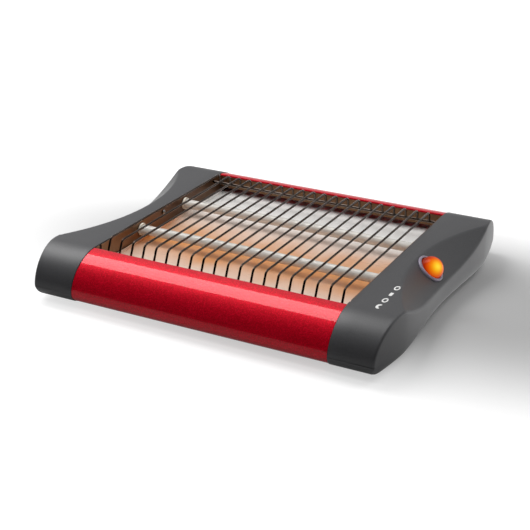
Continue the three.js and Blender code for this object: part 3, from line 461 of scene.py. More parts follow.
def carve(mesh, tools, operation):
    """Cuts or joins closed meshes with the manifold solver and returns the new mesh."""
    body = bpy.data.objects.new("carved_body", mesh)
    bpy.context.scene.collection.objects.link(body)
    others = bpy.data.collections.new("carving_tools")
    for tool in tools:
        others.objects.link(bpy.data.objects.new("carving_tool", tool))
    modifier = body.modifiers.new("carve", "BOOLEAN")
    modifier.operation = operation
    modifier.solver = "MANIFOLD"
    modifier.operand_type = "COLLECTION"
    modifier.collection = others
    bpy.context.view_layer.update()
    result = bpy.data.meshes.new_from_object(body.evaluated_get(bpy.context.evaluated_depsgraph_get()))
    result.name = mesh.name
    for tool in list(others.objects):
        bpy.data.objects.remove(tool)
    bpy.data.collections.remove(others)
    bpy.data.objects.remove(body)
    return result


print("a rounded square has", len(rounded([(0, 0), (1, 0), (1, 1), (0, 1)], [0.1] * 4)), "points")

# %% [markdown]
# The body's section, seen from the end, is one curve for caps and rails alike: a flat top that rolls over
# a superellipse to the bull nose, then under on a plain ellipse. An inset moves the whole curve inwards.
# Stations from 0 to 1 run along the flat top and stations from 1 to 2 run over the nose by angle, so
# points gather where the curve is tight.

# %% The body's section
def reach_and_top(station, inset=0.0):
    if station <= 1:
        return FLAT_REACH * station, TOP - inset
    angle = (station - 1) * math.pi / 2
    reach = FLAT_REACH + (NOSE_LENGTH - inset) * math.sin(angle) ** (2 / NOSE_POWER)
    height = NOSE_HEIGHT + (TOP - inset - NOSE_HEIGHT) * math.cos(angle) ** (2 / NOSE_POWER)
    return reach, height


def underside(reach, inset=0.0):
    past = max(reach - UNDER_REACH, 0) / (UNDERCUT - inset)
    return NOSE_HEIGHT - (NOSE_HEIGHT - BOTTOM - inset) * math.sqrt(max(1 - past * past, 0))


print("nose tip at", [round(c, 4) for c in reach_and_top(2.0)])

# %% [markdown]
# A cap's outer side is narrow in the middle, widest where the scoop runs out, and drawn in at both noses.
# The scoop itself is part of a cone about an upright axis outside the body: that gives the flat top its
# round edge and the slope its even tilt, and it runs out by itself where the cone meets the side.

# %% The cap's side and scoop
SEAM = 0.3 * MM
CAP_INNER = RAIL_END + SEAM
WAIST = 43 * MM
FLARE = 49 * MM
TIP_WIDTH = 41.5 * MM
FLARE_REACH = NOSE_REACH - 54.5 * MM
TAPER_POWER = 1.4
SCOOP_TILT = math.radians(40)
SCOOP_RADIUS = 209 * MM
SCOOP_START = 16.8 * MM
SCOOP_AXIS = RAIL_END + SCOOP_START + SCOOP_RADIUS
WALL = 2.2 * MM
TUCK = 4 * MM
TUCK_HEIGHT = 11 * MM


def side_at(reach):
    if reach <= FLARE_REACH:
        share = (1 - math.cos(math.pi * reach / FLARE_REACH)) / 2
        return RAIL_END + WAIST + (FLARE - WAIST) * share
    share = ((reach - FLARE_REACH) / (NOSE_REACH - FLARE_REACH)) ** TAPER_POWER
    return RAIL_END + FLARE + (TIP_WIDTH - FLARE) * share


def scoop_height(x, reach):
    return TOP - (SCOOP_RADIUS - math.hypot(SCOOP_AXIS - x, reach)) * math.tan(SCOOP_TILT)


def scoop_edge(reach):
    return SCOOP_AXIS - math.sqrt(SCOOP_RADIUS ** 2 - reach ** 2)


print("side at the middle", round(side_at(0.0), 4), "and at the flare", round(side_at(FLARE_REACH), 4))

# %% [markdown]
# Each ring of the cap's skin starts at the seam with the rail, crosses the flat top, dips into the scoop,
# turns over a soft edge on to the side, tucks in at the foot and comes back below. The soft edge is a
# curve square to the edge it rounds, so it keeps its width round the noses too.

# %% The cap's outer skin
SEAM_ROUND = 0.7 * MM
CREASE_ROUND = 1.6 * MM
EDGE_ROUND = 2.0 * MM
SLOPE_ROWS = 9
EDGE_ROWS = 6


def bend(start, corner, end, rows):
    """Points on the curve that leaves start and reaches end, pulled towards corner."""
    shares = [k / rows for k in range(rows + 1)]
    return [start * (1 - t) ** 2 + corner * (2 * t * (1 - t)) + end * t * t for t in shares]


def cap_ring(station, way):
    reach, top = reach_and_top(station)
    low = underside(reach)
    inset_reach, inset_top = reach_and_top(station, EDGE_ROUND)
    inset_low = underside(inset_reach, EDGE_ROUND)
    seam_reach, seam_top = reach_and_top(station, SEAM_ROUND)
    seam_low = underside(seam_reach, SEAM_ROUND)
    side, inset_side = side_at(reach), side_at(inset_reach)
    brink = min(scoop_height(side, reach), top)
    edge = min(scoop_edge(reach), side - EDGE_ROUND - CREASE_ROUND)

    def at(x, y, z):
        return Vector((x, way * y, z))

    def slope_at(x):
        return min(scoop_height(x, reach), top)

    flat_start = CAP_INNER + SEAM_ROUND
    flat_width = edge - CREASE_ROUND - CAP_INNER - SEAM_ROUND
    ring = bend(at(CAP_INNER, seam_reach, seam_top), at(CAP_INNER, reach, top), at(flat_start, reach, top), 3)
    ring += [at(flat_start + flat_width * k / 3, reach, top) for k in (1, 2)]
    slope_start = edge + CREASE_ROUND
    ring += bend(at(edge - CREASE_ROUND, reach, top), at(edge, reach, top),
                 at(slope_start, reach, slope_at(slope_start)), 4)
    slope_end = side - EDGE_ROUND
    for k in range(1, SLOPE_ROWS):
        x = slope_start + (slope_end - slope_start) * k / SLOPE_ROWS
        ring.append(at(x, reach, slope_at(x)))
    drop = top - brink
    shoulder = max(inset_top - drop, inset_low)
    ring += bend(at(slope_end, reach, slope_at(slope_end)), at(side, reach, brink),
                 at(inset_side, inset_reach, shoulder), EDGE_ROWS)
    tuck_height = min(TUCK_HEIGHT, (shoulder - inset_low) / 2)
    tuck = TUCK * tuck_height / TUCK_HEIGHT
    foot = inset_low + tuck_height
    ring += [at(inset_side, inset_reach, shoulder + (foot - shoulder) * k / 4) for k in (1, 2, 3)]
    ring += bend(at(inset_side, inset_reach, foot), at(inset_side, (inset_reach + reach) / 2, low),
                 at(side - tuck - EDGE_ROUND / 2, reach, low), EDGE_ROWS)
    across = side - tuck - EDGE_ROUND / 2 - CAP_INNER - SEAM_ROUND
    ring.append(at(flat_start + across / 2, reach, low))
    ring += bend(at(flat_start, reach, low), at(CAP_INNER, reach, low),
                 at(CAP_INNER, seam_reach, seam_low), 3)
    return ring


FLAT_STATIONS = [k / 26 for k in range(1, 27)]
NOSE_STATIONS = [1 + k / 20 for k in range(1, 20)] + [1.975, 1.992]
stations = [(0.0, 1)] + [(s, 1) for s in FLAT_STATIONS + NOSE_STATIONS]
all_stations = [(s, -1) for s in (FLAT_STATIONS + NOSE_STATIONS)[::-1]] + stations
cap_skin = loft("cap_skin", [cap_ring(station, way) for station, way in all_stations])
print("cap skin", len(cap_skin.polygons), "faces")

# %% [markdown]
# The cap is a shell, open below for its cover. The hollow is lofted from the same curves, one wall
# further in. Over the cover it is open, and closed tips carry it on into the noses.

# %% The hollow of the caps
COVER_REACH = UNDER_REACH - WALL / 2
OVERRUN = 2 * MM
HOLLOW_ROWS = 24


def hollow_ring(reach, way, is_open):
    station_top = TOP
    if reach > FLAT_REACH:
        share = (reach - FLAT_REACH) / (NOSE_LENGTH - WALL)
        rise = max(1 - min(share, 1) ** NOSE_POWER, 0) ** (1 / NOSE_POWER)
        station_top = NOSE_HEIGHT + (TOP - NOSE_HEIGHT) * rise
    top = station_top - WALL
    low = underside(reach, WALL) if reach > UNDER_REACH else BOTTOM + WALL
    floor = BOTTOM - OVERRUN if is_open else low
    side = side_at(reach)
    edge = min(scoop_edge(reach), side - EDGE_ROUND)
    brink = min(scoop_height(side, reach), station_top - EDGE_ROUND)
    slant = WALL / math.sin(SCOOP_TILT)
    corners = [
        (CAP_INNER + WALL, floor),
        (CAP_INNER + WALL, top),
        (edge - slant / 2, top),
        (side - WALL - EDGE_ROUND / 2, max(brink - slant, low + WALL)),
        (side - WALL - EDGE_ROUND / 2, low + WALL / 2),
        (side - WALL - TUCK, floor),
    ]
    return [Vector((x, way * reach, z)) for x, z in corners]


def cap_hollow():
    inner = NOSE_REACH - WALL - UNDERCUT / 3
    middle = [(-COVER_REACH + 2 * COVER_REACH * k / HOLLOW_ROWS) for k in range(HOLLOW_ROWS + 1)]
    rings = [hollow_ring(abs(y), math.copysign(1, y), True) for y in middle]
    parts = [loft("cap_hollow", rings)]
    for way in (-1, 1):
        tips = [COVER_REACH - WALL, COVER_REACH, (COVER_REACH + inner) / 2, inner]
        parts.append(loft("cap_hollow_tip", [hollow_ring(y, way, False) for y in tips]))
    return parts


print("cover reaches", round(COVER_REACH, 4))

# %% [markdown]
# The rails are hollow. At each end of a rail the cap has a tongue, a solid block that the rail slides
# over. It follows the rail's section a little inside the sheet.

# %% The tongues that carry the rails
TONGUE_INSET = 1.9 * MM
TONGUE_LENGTH = 10 * MM
TONGUE_START = FLAT_REACH + 6 * MM
TONGUE_STATION = 1.15
TONGUE_FOOT = 4 * MM
BACK_TONGUE_BOTTOM = 35.3 * MM


def rail_tongue(way, bottom):
    inset = TONGUE_INSET
    upper = [reach_and_top(1 + k / 10, inset) for k in range(1, 11)]
    points = [(TONGUE_START, bottom), (TONGUE_START, reach_and_top(TONGUE_STATION, inset)[1])]
    points += [p for p in upper if p[0] > TONGUE_START and p[1] > bottom]
    if bottom < NOSE_HEIGHT:
        unders = [UNDER_REACH + (UNDERCUT - inset) * math.cos(math.pi / 2 * k / 6) for k in range(1, 6)]
        unders = [(reach, underside(reach, inset)) for reach in unders]
        points += [(reach, height) for reach, height in unders if height > bottom]
        points.append((UNDER_REACH + TONGUE_FOOT, bottom))
    else:
        points.append((points[-1][0], bottom))
    span = (CAP_INNER - TONGUE_LENGTH, CAP_INNER + WALL / 2)
    return loft("rail_tongue", [[Vector((x, way * y, z)) for y, z in points] for x in span])


print("tongues start at", round(TONGUE_START, 4))

# %% [markdown]
# The hollow is cut from the skin, and the tongues and two screw bosses are joined on. Then come the holes
# that both caps need: for the cap screws, the heater ends and the heat shield's screw.

# %% The shell of a cap
gap = 0.3 * MM
BOSS_X = RAIL_END + 22.5 * MM
BOSS_REACH = NOSE_REACH - 33.5 * MM
BOSS_STATION = 1.25
BOSS_RADIUS = 4 * MM
BOSS_HOLE_DEPTH = 18.6 * MM
SHIELD_SCREW_HEIGHT = TOP - 5 * MM
tube_low, tube_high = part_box("front_quartz_tube")
HEATER_HEIGHT = (tube_low.z + tube_high.z) / 2
SCREW_HOLE = 1.7 * MM
WINDOW = 8.8 * MM


def cap_shell():
    shell = carve(cap_skin.copy(), cap_hollow(), "DIFFERENCE")
    tongues = [rail_tongue(-1, BOTTOM + TONGUE_INSET), rail_tongue(1, BACK_TONGUE_BOTTOM)]
    bosses = []
    for way in (-1, 1):
        foot = Vector((BOSS_X, way * BOSS_REACH, BOTTOM + WALL + gap))
        head = Vector((BOSS_X, way * BOSS_REACH, reach_and_top(BOSS_STATION)[1] - WALL / 2))
        bosses.append(rod_mesh("boss", foot, head, BOSS_RADIUS))
    shell = carve(shell, tongues + bosses, "UNION")
    holes = []
    for way in (-1, 1):
        foot = Vector((BOSS_X, way * BOSS_REACH, BOTTOM))
        hole_top = foot + Vector((0, 0, BOSS_HOLE_DEPTH))
        holes.append(rod_mesh("boss_hole", foot, hole_top, SCREW_HOLE, 24))
        low = (CAP_INNER - OVERRUN, way * HEATER_REACH - WINDOW, HEATER_HEIGHT - WINDOW)
        high = (CAP_INNER + WALL + OVERRUN, way * HEATER_REACH + WINDOW, TOP - WALL)
        holes.append(box_mesh("window", low, high))
    hole_start = Vector((CAP_INNER - OVERRUN, 0, SHIELD_SCREW_HEIGHT))
    hole_end = hole_start + Vector((WALL + 2 * OVERRUN, 0, 0))
    holes.append(rod_mesh("shield_hole", hole_start, hole_end, SCREW_HOLE, 24))
    return carve(shell, holes, "DIFFERENCE")


blank = cap_shell()
print("blank cap", len(blank.polygons), "faces")

# %% [markdown]
# Only the right cap has the switch's seat and barrel in its slope and the gland's pocket in its back. The
# left cap is the blank, mirrored.

# %% The two caps
SWITCH_SHARE = 0.45
SWITCH_REACH = 4 * MM
switch_x = RAIL_END + SCOOP_START + (WAIST - SCOOP_START) * SWITCH_SHARE
switch_seat = Matrix.Translation((switch_x, SWITCH_REACH, scoop_height(switch_x, SWITCH_REACH)))
switch_seat = switch_seat @ Matrix.Rotation(SCOOP_TILT, 4, "Y")
SEAT_RADIUS = 14.5 * MM
SEAT_HEIGHT = 14 * MM
BARREL_HOLE = 12.9 * MM
BARREL_HOLE_DEPTH = 20 * MM
GLAND_FACE = NOSE_REACH - 5 * MM
GLAND_HEIGHT = 20 * MM
GLAND_POCKET = 7.3 * MM
GLAND_POCKET_DEPTH = 8 * MM
GLAND_BORE = 5 * MM
GLAND_LENGTH = 16 * MM


def right_holes():
    seat = rod_mesh("seat_hole", (0, 0, -gap), (0, 0, SEAT_HEIGHT), SEAT_RADIUS, 96)
    barrel = rod_mesh("barrel_hole", (0, 0, -BARREL_HOLE_DEPTH), (0, 0, OVERRUN), BARREL_HOLE, 96)
    for hole in (seat, barrel):
        hole.transform(switch_seat)
    face = Vector((BOSS_X, GLAND_FACE, GLAND_HEIGHT))
    pocket_end = face + Vector((0, GLAND_POCKET_DEPTH, 0))
    bore_start = face - Vector((0, GLAND_LENGTH, 0))
    bore_end = face + Vector((0, OVERRUN, 0))
    pocket = rod_mesh("gland_pocket", face, pocket_end, GLAND_POCKET, 64)
    bore = rod_mesh("gland_bore", bore_start, bore_end, GLAND_BORE, 64)
    return [seat, barrel, pocket, bore]


right_mesh = smooth(carve(blank.copy(), right_holes(), "DIFFERENCE"))
left_mesh = blank.copy()
left_mesh.transform(Matrix.Diagonal((-1, 1, 1, 1)))
left_mesh.flip_normals()
smooth(left_mesh)
new_piece("right_cap_shell", right_mesh, cap_plastic, replaces=["right_cap"])
new_piece("left_cap_shell", left_mesh, cap_plastic, replaces=["left_cap"])
print("right cap", len(right_mesh.polygons), "faces, left cap", len(left_mesh.polygons))

# %% [markdown]
# A pad-printed row of marks sits beside the switch. On this part it is generic: a ring, a bar, a ring and
# a crescent. They are drawn three quarters longer along the cap, because they are read from a low angle.
# Ink has hardly any thickness, so each mark is a thin solid just proud of the top.

# %% Printed marks
INK = 0.05 * MM
MARK_X = RAIL_END + 25.4 * MM
MARK_SIZE = 2.6 * MM
MARK_STRETCH = 1.75
mark_places = [-70 * MM, -84 * MM, -97.5 * MM, -111 * MM]


def ring_outline(outer, inner, start, end, steps=36):
    angles = [start + (end - start) * k / steps for k in range(steps + 1)]
    far = [(outer * math.cos(a), outer * math.sin(a)) for a in angles]
    near = [(inner * math.cos(a), inner * math.sin(a)) for a in reversed(angles)]
    return far + near


def flat_mark(outline, middle):
    bm = bmesh.new()
    base = [bm.verts.new((middle[0] + x, middle[1] + y * MARK_STRETCH, TOP + INK / 5)) for x, y in outline]
    face = bm.faces.new(base)
    raised = bmesh.ops.extrude_face_region(bm, geom=[face])
    for item in raised["geom"]:
        if isinstance(item, bmesh.types.BMVert):
            item.co.z += INK
    bmesh.ops.triangulate(bm, faces=bm.faces)
    return bm


def crescent_outline(radius, bite, steps=24):
    outer = [(radius * math.cos(a), radius * math.sin(a))
             for a in [math.radians(50 + 260 * k / steps) for k in range(steps + 1)]]
    start, end = Vector(outer[-1]), Vector(outer[0])
    inner = bend(start, Vector((-bite, 0)), end, steps)[1:-1]
    return outer + [tuple(p) for p in inner]


def bar_outline(width, length):
    corner = (width / 2, length / 2)
    corners = [(-corner[0], -corner[1]), (corner[0], -corner[1]), corner, (-corner[0], corner[1])]
    return [tuple(p) for p in rounded(corners, [width / 4] * 4)]


full_turn = ring_outline(MARK_SIZE, MARK_SIZE * 0.55, math.radians(40), math.radians(385))
bar = bar_outline(MARK_SIZE * 1.1, MARK_SIZE * 1.5)
outlines = [full_turn, bar, full_turn, crescent_outline(MARK_SIZE, MARK_SIZE * 0.9)]
marks = bmesh.new()
for outline, y in zip(outlines, mark_places):
    marks.from_mesh(mesh_from(flat_mark(outline, (MARK_X, y)), "mark"))
new_piece("right_cap_marks", mesh_from(marks, "cap_marks"), print_ink)
print("marks", len(outlines))

# %% [markdown]
# The rails are rolled from one strip: a short lip inside, the flat top, the bull nose and a flange below.
# The section never changes, so Geometry Nodes extrude one outline along the length. The outline is the
# body's curve one step in, and again one sheet further in, with the sheet's edges rounded as a roller
# leaves them.

# %% A tree that extrudes an outline
def start_tree(name, inputs):
    """A tree with geometry in and out and named inputs. Comes with its entry's sockets."""
    tree = bpy.data.node_groups.new(name, "GeometryNodeTree")
    for socket, kind in {"Geometry": "Geometry", **inputs, "Finish": "Material"}.items():
        tree.interface.new_socket(socket, in_out="INPUT", socket_type="NodeSocket" + kind)
    tree.interface.new_socket("Geometry", in_out="OUTPUT", socket_type="NodeSocketGeometry")
    return tree, add_node(tree, "NodeGroupInput").outputs


def close_tree(tree, parts, material_socket):
    """Every tree ends with real geometry that carries its material."""
    whole = add_node(tree, "GeometryNodeJoinGeometry", {"Geometry": parts}).outputs["Geometry"]
    real = add_node(tree, "GeometryNodeRealizeInstances", {"Geometry": whole}).outputs["Geometry"]
    dressed = add_node(tree, "GeometryNodeSetMaterial", {"Geometry": real, "Material": material_socket})
    add_node(tree, "NodeGroupOutput", {"Geometry": dressed.outputs["Geometry"]})
    return tree


def grow(name, base, tree, crease_degrees=32, **inputs):
    """Runs a tree on a base mesh and returns the plain mesh it makes."""
    source = bpy.data.objects.new(name + "_base", base)
    bpy.context.scene.collection.objects.link(source)
    modifier = source.modifiers.new("grow", "NODES")
    modifier.node_group = tree
    for item in tree.interface.items_tree:
        key = item.name.replace(" ", "_").lower()
        if item.in_out == "INPUT" and key in inputs:
            modifier[item.identifier] = inputs[key]
    bpy.context.view_layer.update()
    made = bpy.data.meshes.new_from_object(source.evaluated_get(bpy.context.evaluated_depsgraph_get()))
    made.name = name
    source.modifiers.remove(modifier)
    bpy.data.objects.remove(source)
    return smooth(made, crease_degrees)


def extruder():
    tree, entry = start_tree("rolled_section", {"Length": "Float"})
    pull = {"Mesh": entry["Geometry"], "Offset": (1.0, 0.0, 0.0), "Offset Scale": entry["Length"]}
    pulled = add_node(tree, "GeometryNodeExtrudeMesh", {**pull, "Individual": False}, mode="FACES")
    turned = add_node(tree, "GeometryNodeFlipFaces", {"Mesh": entry["Geometry"]})
    shells = [pulled.outputs["Mesh"], turned.outputs["Mesh"]]
    both = add_node(tree, "GeometryNodeJoinGeometry", {"Geometry": shells}).outputs["Geometry"]
    whole = add_node(tree, "GeometryNodeMergeByDistance", {"Geometry": both, "Distance": 1e-6})
    return close_tree(tree, [whole.outputs["Geometry"]], entry["Finish"])


rolled_section = extruder()
print("tree", rolled_section.name)

# %% [markdown]
# Two curves, one sheet apart, make a rail's outline, and their ends are rounded into the sheet's edges.
# Each curve can be kept between two heights, because two pieces share the nose at the back.

# %% Outlines for the rails
SHEET = 1.0 * MM
STEP = 0.6 * MM
CUT_MARGIN = 0.2 * MM


def nose_points(inset, first_height=None, last_height=None):
    """The section curve from the flat top to the underside, kept between two heights."""
    upper = [reach_and_top(1 + k / 28, inset) for k in range(29)]
    lower = []
    for k in range(1, 15):
        angle = math.pi / 2 * k / 14
        reach = UNDER_REACH + (UNDERCUT - inset) * math.cos(angle)
        lower.append((reach, underside(reach, inset)))
    points = upper + lower
    if first_height is not None:
        points = [reach_where(first_height, inset)] + [p for p in points if p[1] < first_height - CUT_MARGIN]
    if last_height is not None:
        points = [p for p in points if p[1] > last_height + CUT_MARGIN] + [reach_where(last_height, inset)]
    return points


def reach_where(height, inset):
    """The point of the nose at one height."""
    low, high = 1.0, 2.0
    for _ in range(40):
        middle = (low + high) / 2
        if reach_and_top(middle, inset)[1] > height:
            low = middle
        else:
            high = middle
    return reach_and_top(low, inset)[0], height


def strip(outer, inner, round_share=0.45):
    """Closes an outer and an inner curve into one outline with rounded sheet edges."""
    points = outer + inner[::-1]
    radii = [0.0] * len(points)
    for i in (0, len(outer) - 1, len(outer), len(points) - 1):
        radii[i] = SHEET * round_share
    return rounded(points, radii, 3)


def section_mesh(name, outline, way, start):
    bm = bmesh.new()
    bm.faces.new([bm.verts.new((start, way * y, z)) for y, z in outline])
    bmesh.ops.remove_doubles(bm, verts=bm.verts, dist=1e-7)
    bm.normal_update()
    if bm.faces[:][0].normal.x < 0:
        bmesh.ops.reverse_faces(bm, faces=bm.faces)
    mesh = bpy.data.meshes.new(name)
    bm.to_mesh(mesh)
    bm.free()
    return mesh


def rail_mesh(name, outline, way, half):
    base = section_mesh(name, outline, way, -half)
    return grow(name, base, rolled_section, length=2 * half, finish=red_lacquer)


print("nose has", len(nose_points(STEP)), "points")

# %% [markdown]
# Both rails start with the lip. The front rail is one piece, lip to flange. The back rail ends at a split
# with a flange of its own, and the crumb tray's front carries the curve on below it.

# %% The rails
LIP_DROP = 6.5 * MM
LIP_BEND = 0.3 * MM
FLANGE = 8.5 * MM
RAIL_INNER = FLAT_REACH - 0.5 * MM
RAIL_SPLIT = TOP - 15 * MM
BACK_SCREW_INSET = 24.5 * MM
PAST_SCREW = 4.8 * MM
lip_top = TOP - STEP
lip_end = lip_top - LIP_DROP
outer_lip = [
    (RAIL_INNER, lip_end), (RAIL_INNER, lip_top - SHEET),
    (RAIL_INNER + LIP_BEND, lip_top - LIP_BEND), (RAIL_INNER + SHEET, lip_top),
]
inner_lip = [(RAIL_INNER + SHEET, lip_end), (RAIL_INNER + SHEET, lip_top - SHEET)]
flange_end = UNDER_REACH - FLANGE
front_outer = outer_lip + nose_points(STEP)[1:] + [(flange_end, BOTTOM + STEP)]
front_inner = inner_lip + nose_points(STEP + SHEET)[1:] + [(flange_end, BOTTOM + STEP + SHEET)]
front_mesh = rail_mesh("front_rail_strip", strip(front_outer, front_inner), -1, RAIL_END)
new_piece("front_rail_strip", front_mesh, red_lacquer, replaces=["front_rail"])

flange_in = NOSE_REACH - BACK_SCREW_INSET - PAST_SCREW
outer_nose = nose_points(STEP, last_height=RAIL_SPLIT)[1:]
inner_nose = nose_points(STEP + SHEET, last_height=RAIL_SPLIT + SHEET)[1:]
back_outer = outer_lip + outer_nose + [(flange_in, RAIL_SPLIT)]
back_inner = inner_lip + inner_nose + [(flange_in, RAIL_SPLIT + SHEET)]
back_mesh = rail_mesh("back_rail_strip", strip(back_outer, back_inner), 1, RAIL_END)
new_piece("back_rail_strip", back_mesh, red_lacquer, replaces=["back_rail"])
print("front rail", len(front_mesh.polygons), "faces, back rail", len(back_mesh.polygons))

# %% [markdown]
# The lower half of the back rail is the crumb tray's front and pulls out with it. Two ribs inside carry
# it on the tray's flange, as a glued or welded bracket would.

# %% The tray's front
FRONT_GAP = 0.5 * MM
TRAY_FLANGE = NOSE_REACH - 12.5 * MM
TRAY_FLOOR = TOP - 20.6 * MM
TRAY_SCREW_X = 60 * MM
RIB_HALF_WIDTH = 6.2 * MM
RIB_THICKNESS = 2 * MM
RIB_BOTTOM = NOSE_HEIGHT - SHEET
front_top = RAIL_SPLIT - FRONT_GAP
skin_outer = nose_points(STEP, first_height=front_top) + [(flange_end, BOTTOM + STEP)]
skin_inner = nose_points(STEP + SHEET, first_height=front_top) + [(flange_end, BOTTOM + STEP + SHEET)]
skin = rail_mesh("tray_front_skin", strip(skin_outer, skin_inner), 1, RAIL_END - FRONT_GAP)
ribs = []
rib_face = TRAY_FLANGE + gap
for x in (-TRAY_SCREW_X, TRAY_SCREW_X):
    start, end = x - RIB_HALF_WIDTH, x + RIB_HALF_WIDTH
    ribs.append(box_mesh("rib", (start, rib_face, RIB_BOTTOM), (end, rib_face + RIB_THICKNESS, TRAY_FLOOR)))
    ribs.append(box_mesh("bridge", (start, rib_face, RIB_BOTTOM),
                         (end, NOSE_TIP - STEP - SHEET / 2, NOSE_HEIGHT + SHEET)))
front_plate = smooth(carve(skin, ribs, "UNION"))
new_piece("tray_front_skin", front_plate, red_lacquer, "tray", ["tray_front"])
print("tray front", len(front_plate.polygons), "faces")

# %% [markdown]
# The rack is twenty equal wires welded to two cross rods. One wire is a bent line with filleted corners;
# the tree sweeps it, copies it along the rods at the wire pitch, and puts a small weld bead at each foot.

# %% A tree for the wire rack
BEAD_SHARE = 0.52
BEAD_STRETCH = (1.25, 1.0, 1.15)


def sweep(tree, curve, radius, sides):
    """Makes a curve a round bar."""
    size = {"Resolution": sides, "Radius": radius}
    section = add_node(tree, "GeometryNodeCurvePrimitiveCircle", size, mode="RADIUS").outputs["Curve"]
    bar = {"Curve": curve, "Profile Curve": section, "Fill Caps": True}
    return add_node(tree, "GeometryNodeCurveToMesh", bar).outputs["Mesh"]


def rack_tree():
    tree, entry = start_tree("wire_rack_tree", {
        "Count": "Int", "Pitch": "Float", "Wire Radius": "Float", "Rod Radius": "Float",
        "Bead Radius": "Float", "Half Width": "Float", "Bend": "Float", "Front Foot": "Vector",
        "Back Foot": "Vector",
    })
    line = add_node(tree, "GeometryNodeMeshToCurve", {"Mesh": entry["Geometry"]}).outputs["Curve"]
    bends = {"Curve": line, "Count": 7, "Radius": entry["Bend"], "Limit Radius": True}
    soft = add_node(tree, "GeometryNodeFilletCurve", bends, mode="POLY").outputs["Curve"]
    wire = sweep(tree, soft, entry["Wire Radius"], 14)
    less = add_node(tree, "ShaderNodeMath", {0: entry["Count"], 1: 1.0}, operation="SUBTRACT").outputs[0]
    span = add_node(tree, "ShaderNodeMath", {0: less, 1: entry["Pitch"]}, operation="MULTIPLY").outputs[0]
    first = add_node(tree, "ShaderNodeMath", {0: span, 1: -0.5}, operation="MULTIPLY").outputs[0]
    start, step, half = [add_node(tree, "ShaderNodeCombineXYZ", {"X": x}).outputs["Vector"]
                         for x in (first, entry["Pitch"], entry["Half Width"])]
    spots = {"Count": entry["Count"], "Start Location": start, "Offset": step}
    row = add_node(tree, "GeometryNodeMeshLine", spots, mode="OFFSET").outputs["Mesh"]
    copies = add_node(tree, "GeometryNodeInstanceOnPoints", {"Points": row, "Instance": wire})
    parts = [copies.outputs["Instances"]]
    ball = {"Segments": 12, "Rings": 7, "Radius": entry["Bead Radius"]}
    bead = add_node(tree, "GeometryNodeMeshUVSphere", ball).outputs["Mesh"]
    for foot in (entry["Front Foot"], entry["Back Foot"]):
        left, right = [add_node(tree, "ShaderNodeVectorMath", {0: foot, 1: half}, operation=way).outputs[0]
                       for way in ("SUBTRACT", "ADD")]
        ends = {"Start": left, "End": right}
        axis = add_node(tree, "GeometryNodeCurvePrimitiveLine", ends, mode="POINTS").outputs["Curve"]
        parts.append(sweep(tree, axis, entry["Rod Radius"], 18))
        feet = add_node(tree, "GeometryNodeSetPosition", {"Geometry": row, "Offset": foot})
        beads = {"Points": feet.outputs["Geometry"], "Instance": bead, "Scale": BEAD_STRETCH}
        parts.append(add_node(tree, "GeometryNodeInstanceOnPoints", beads).outputs["Instances"])
    return close_tree(tree, parts, entry["Finish"])


wire_rack = rack_tree()
print("tree", wire_rack.name)

# %% [markdown]
# A wire starts at its front foot, climbs, runs level and drops to its back foot, which stands higher. The
# wires are 2.1 mm here, within the 2.4 mm ones of the CAD model, because the photograph shows them finer.

# %% The wire rack
WIRE = 2.1 * MM
ROD = 2.8 * MM
PITCH = 12.5 * MM
BEND = 5 * MM
RACK_HEIGHT = cad_high.z - WIRE / 2 - 0.01 * MM
front_foot = Vector((0, -(RAIL_INNER - 7.5 * MM), TOP - 8 * MM))
back_foot = Vector((0, RAIL_INNER - 15.7 * MM, TOP - 4 * MM))
flat_front = -(RAIL_INNER - 15 * MM)
flat_back = RAIL_INNER - 17.7 * MM
wire_path = [
    front_foot,
    Vector((0, flat_front - 1.4 * MM, RACK_HEIGHT)),
    Vector((0, flat_back + 0.7 * MM, RACK_HEIGHT)),
    back_foot,
]
wire_line = bpy.data.meshes.new("wire_line")
wire_line.from_pydata([tuple(p) for p in wire_path], [(i, i + 1) for i in range(len(wire_path) - 1)], [])
WIRE_COUNT = 20
rack_mesh = grow(
    "bent_wire_rack", wire_line, wire_rack, crease_degrees=50, count=WIRE_COUNT, pitch=PITCH,
    wire_radius=WIRE / 2, rod_radius=ROD / 2, bead_radius=WIRE * BEAD_SHARE, half_width=RAIL_END,
    bend=BEND, front_foot=front_foot, back_foot=back_foot, finish=rack_chrome,
)
new_piece("bent_wire_rack", rack_mesh, rack_chrome, body="rack", replaces=["wire_rack"])
print("rack", WIRE_COUNT, "wires,", len(rack_mesh.polygons), "faces")

# %% [markdown]
# A heater's coil is wound from resistance wire. The tree makes a true helix, with the turns a little
# apart so that they never touch, and a straight tail at each end.

# %% A tree for the coils
def coil_tree():
    """Winds a helix along Z, and sweeps the base mesh's edges as straight tails."""
    tree, entry = start_tree("coil_tree", {
        "Turns": "Float", "Radius": "Float", "Length": "Float", "Wire Radius": "Float",
        "Tail Radius": "Float",
    })
    winding = {"Resolution": 14, "Rotations": entry["Turns"], "Start Radius": entry["Radius"],
               "End Radius": entry["Radius"], "Height": entry["Length"]}
    helix = add_node(tree, "GeometryNodeCurveSpiral", winding).outputs["Curve"]
    half = add_node(tree, "ShaderNodeMath", {0: entry["Length"], 1: -0.5}, operation="MULTIPLY").outputs[0]
    down = add_node(tree, "ShaderNodeCombineXYZ", {"Z": half}).outputs["Vector"]
    centred = add_node(tree, "GeometryNodeSetPosition", {"Geometry": helix, "Offset": down})
    wound = sweep(tree, centred.outputs["Geometry"], entry["Wire Radius"], 6)
    lines = add_node(tree, "GeometryNodeMeshToCurve", {"Mesh": entry["Geometry"]}).outputs["Curve"]
    straight = sweep(tree, lines, entry["Tail Radius"], 16)
    return close_tree(tree, [wound, straight], entry["Finish"])


coils = coil_tree()
print("tree", coils.name)

# %% [markdown]
# Each heater is a quartz tube with the coil inside and a steatite end at each side. The end has a groove
# for the edge of the sheet that it passes through, and a hole for the coil's tail.

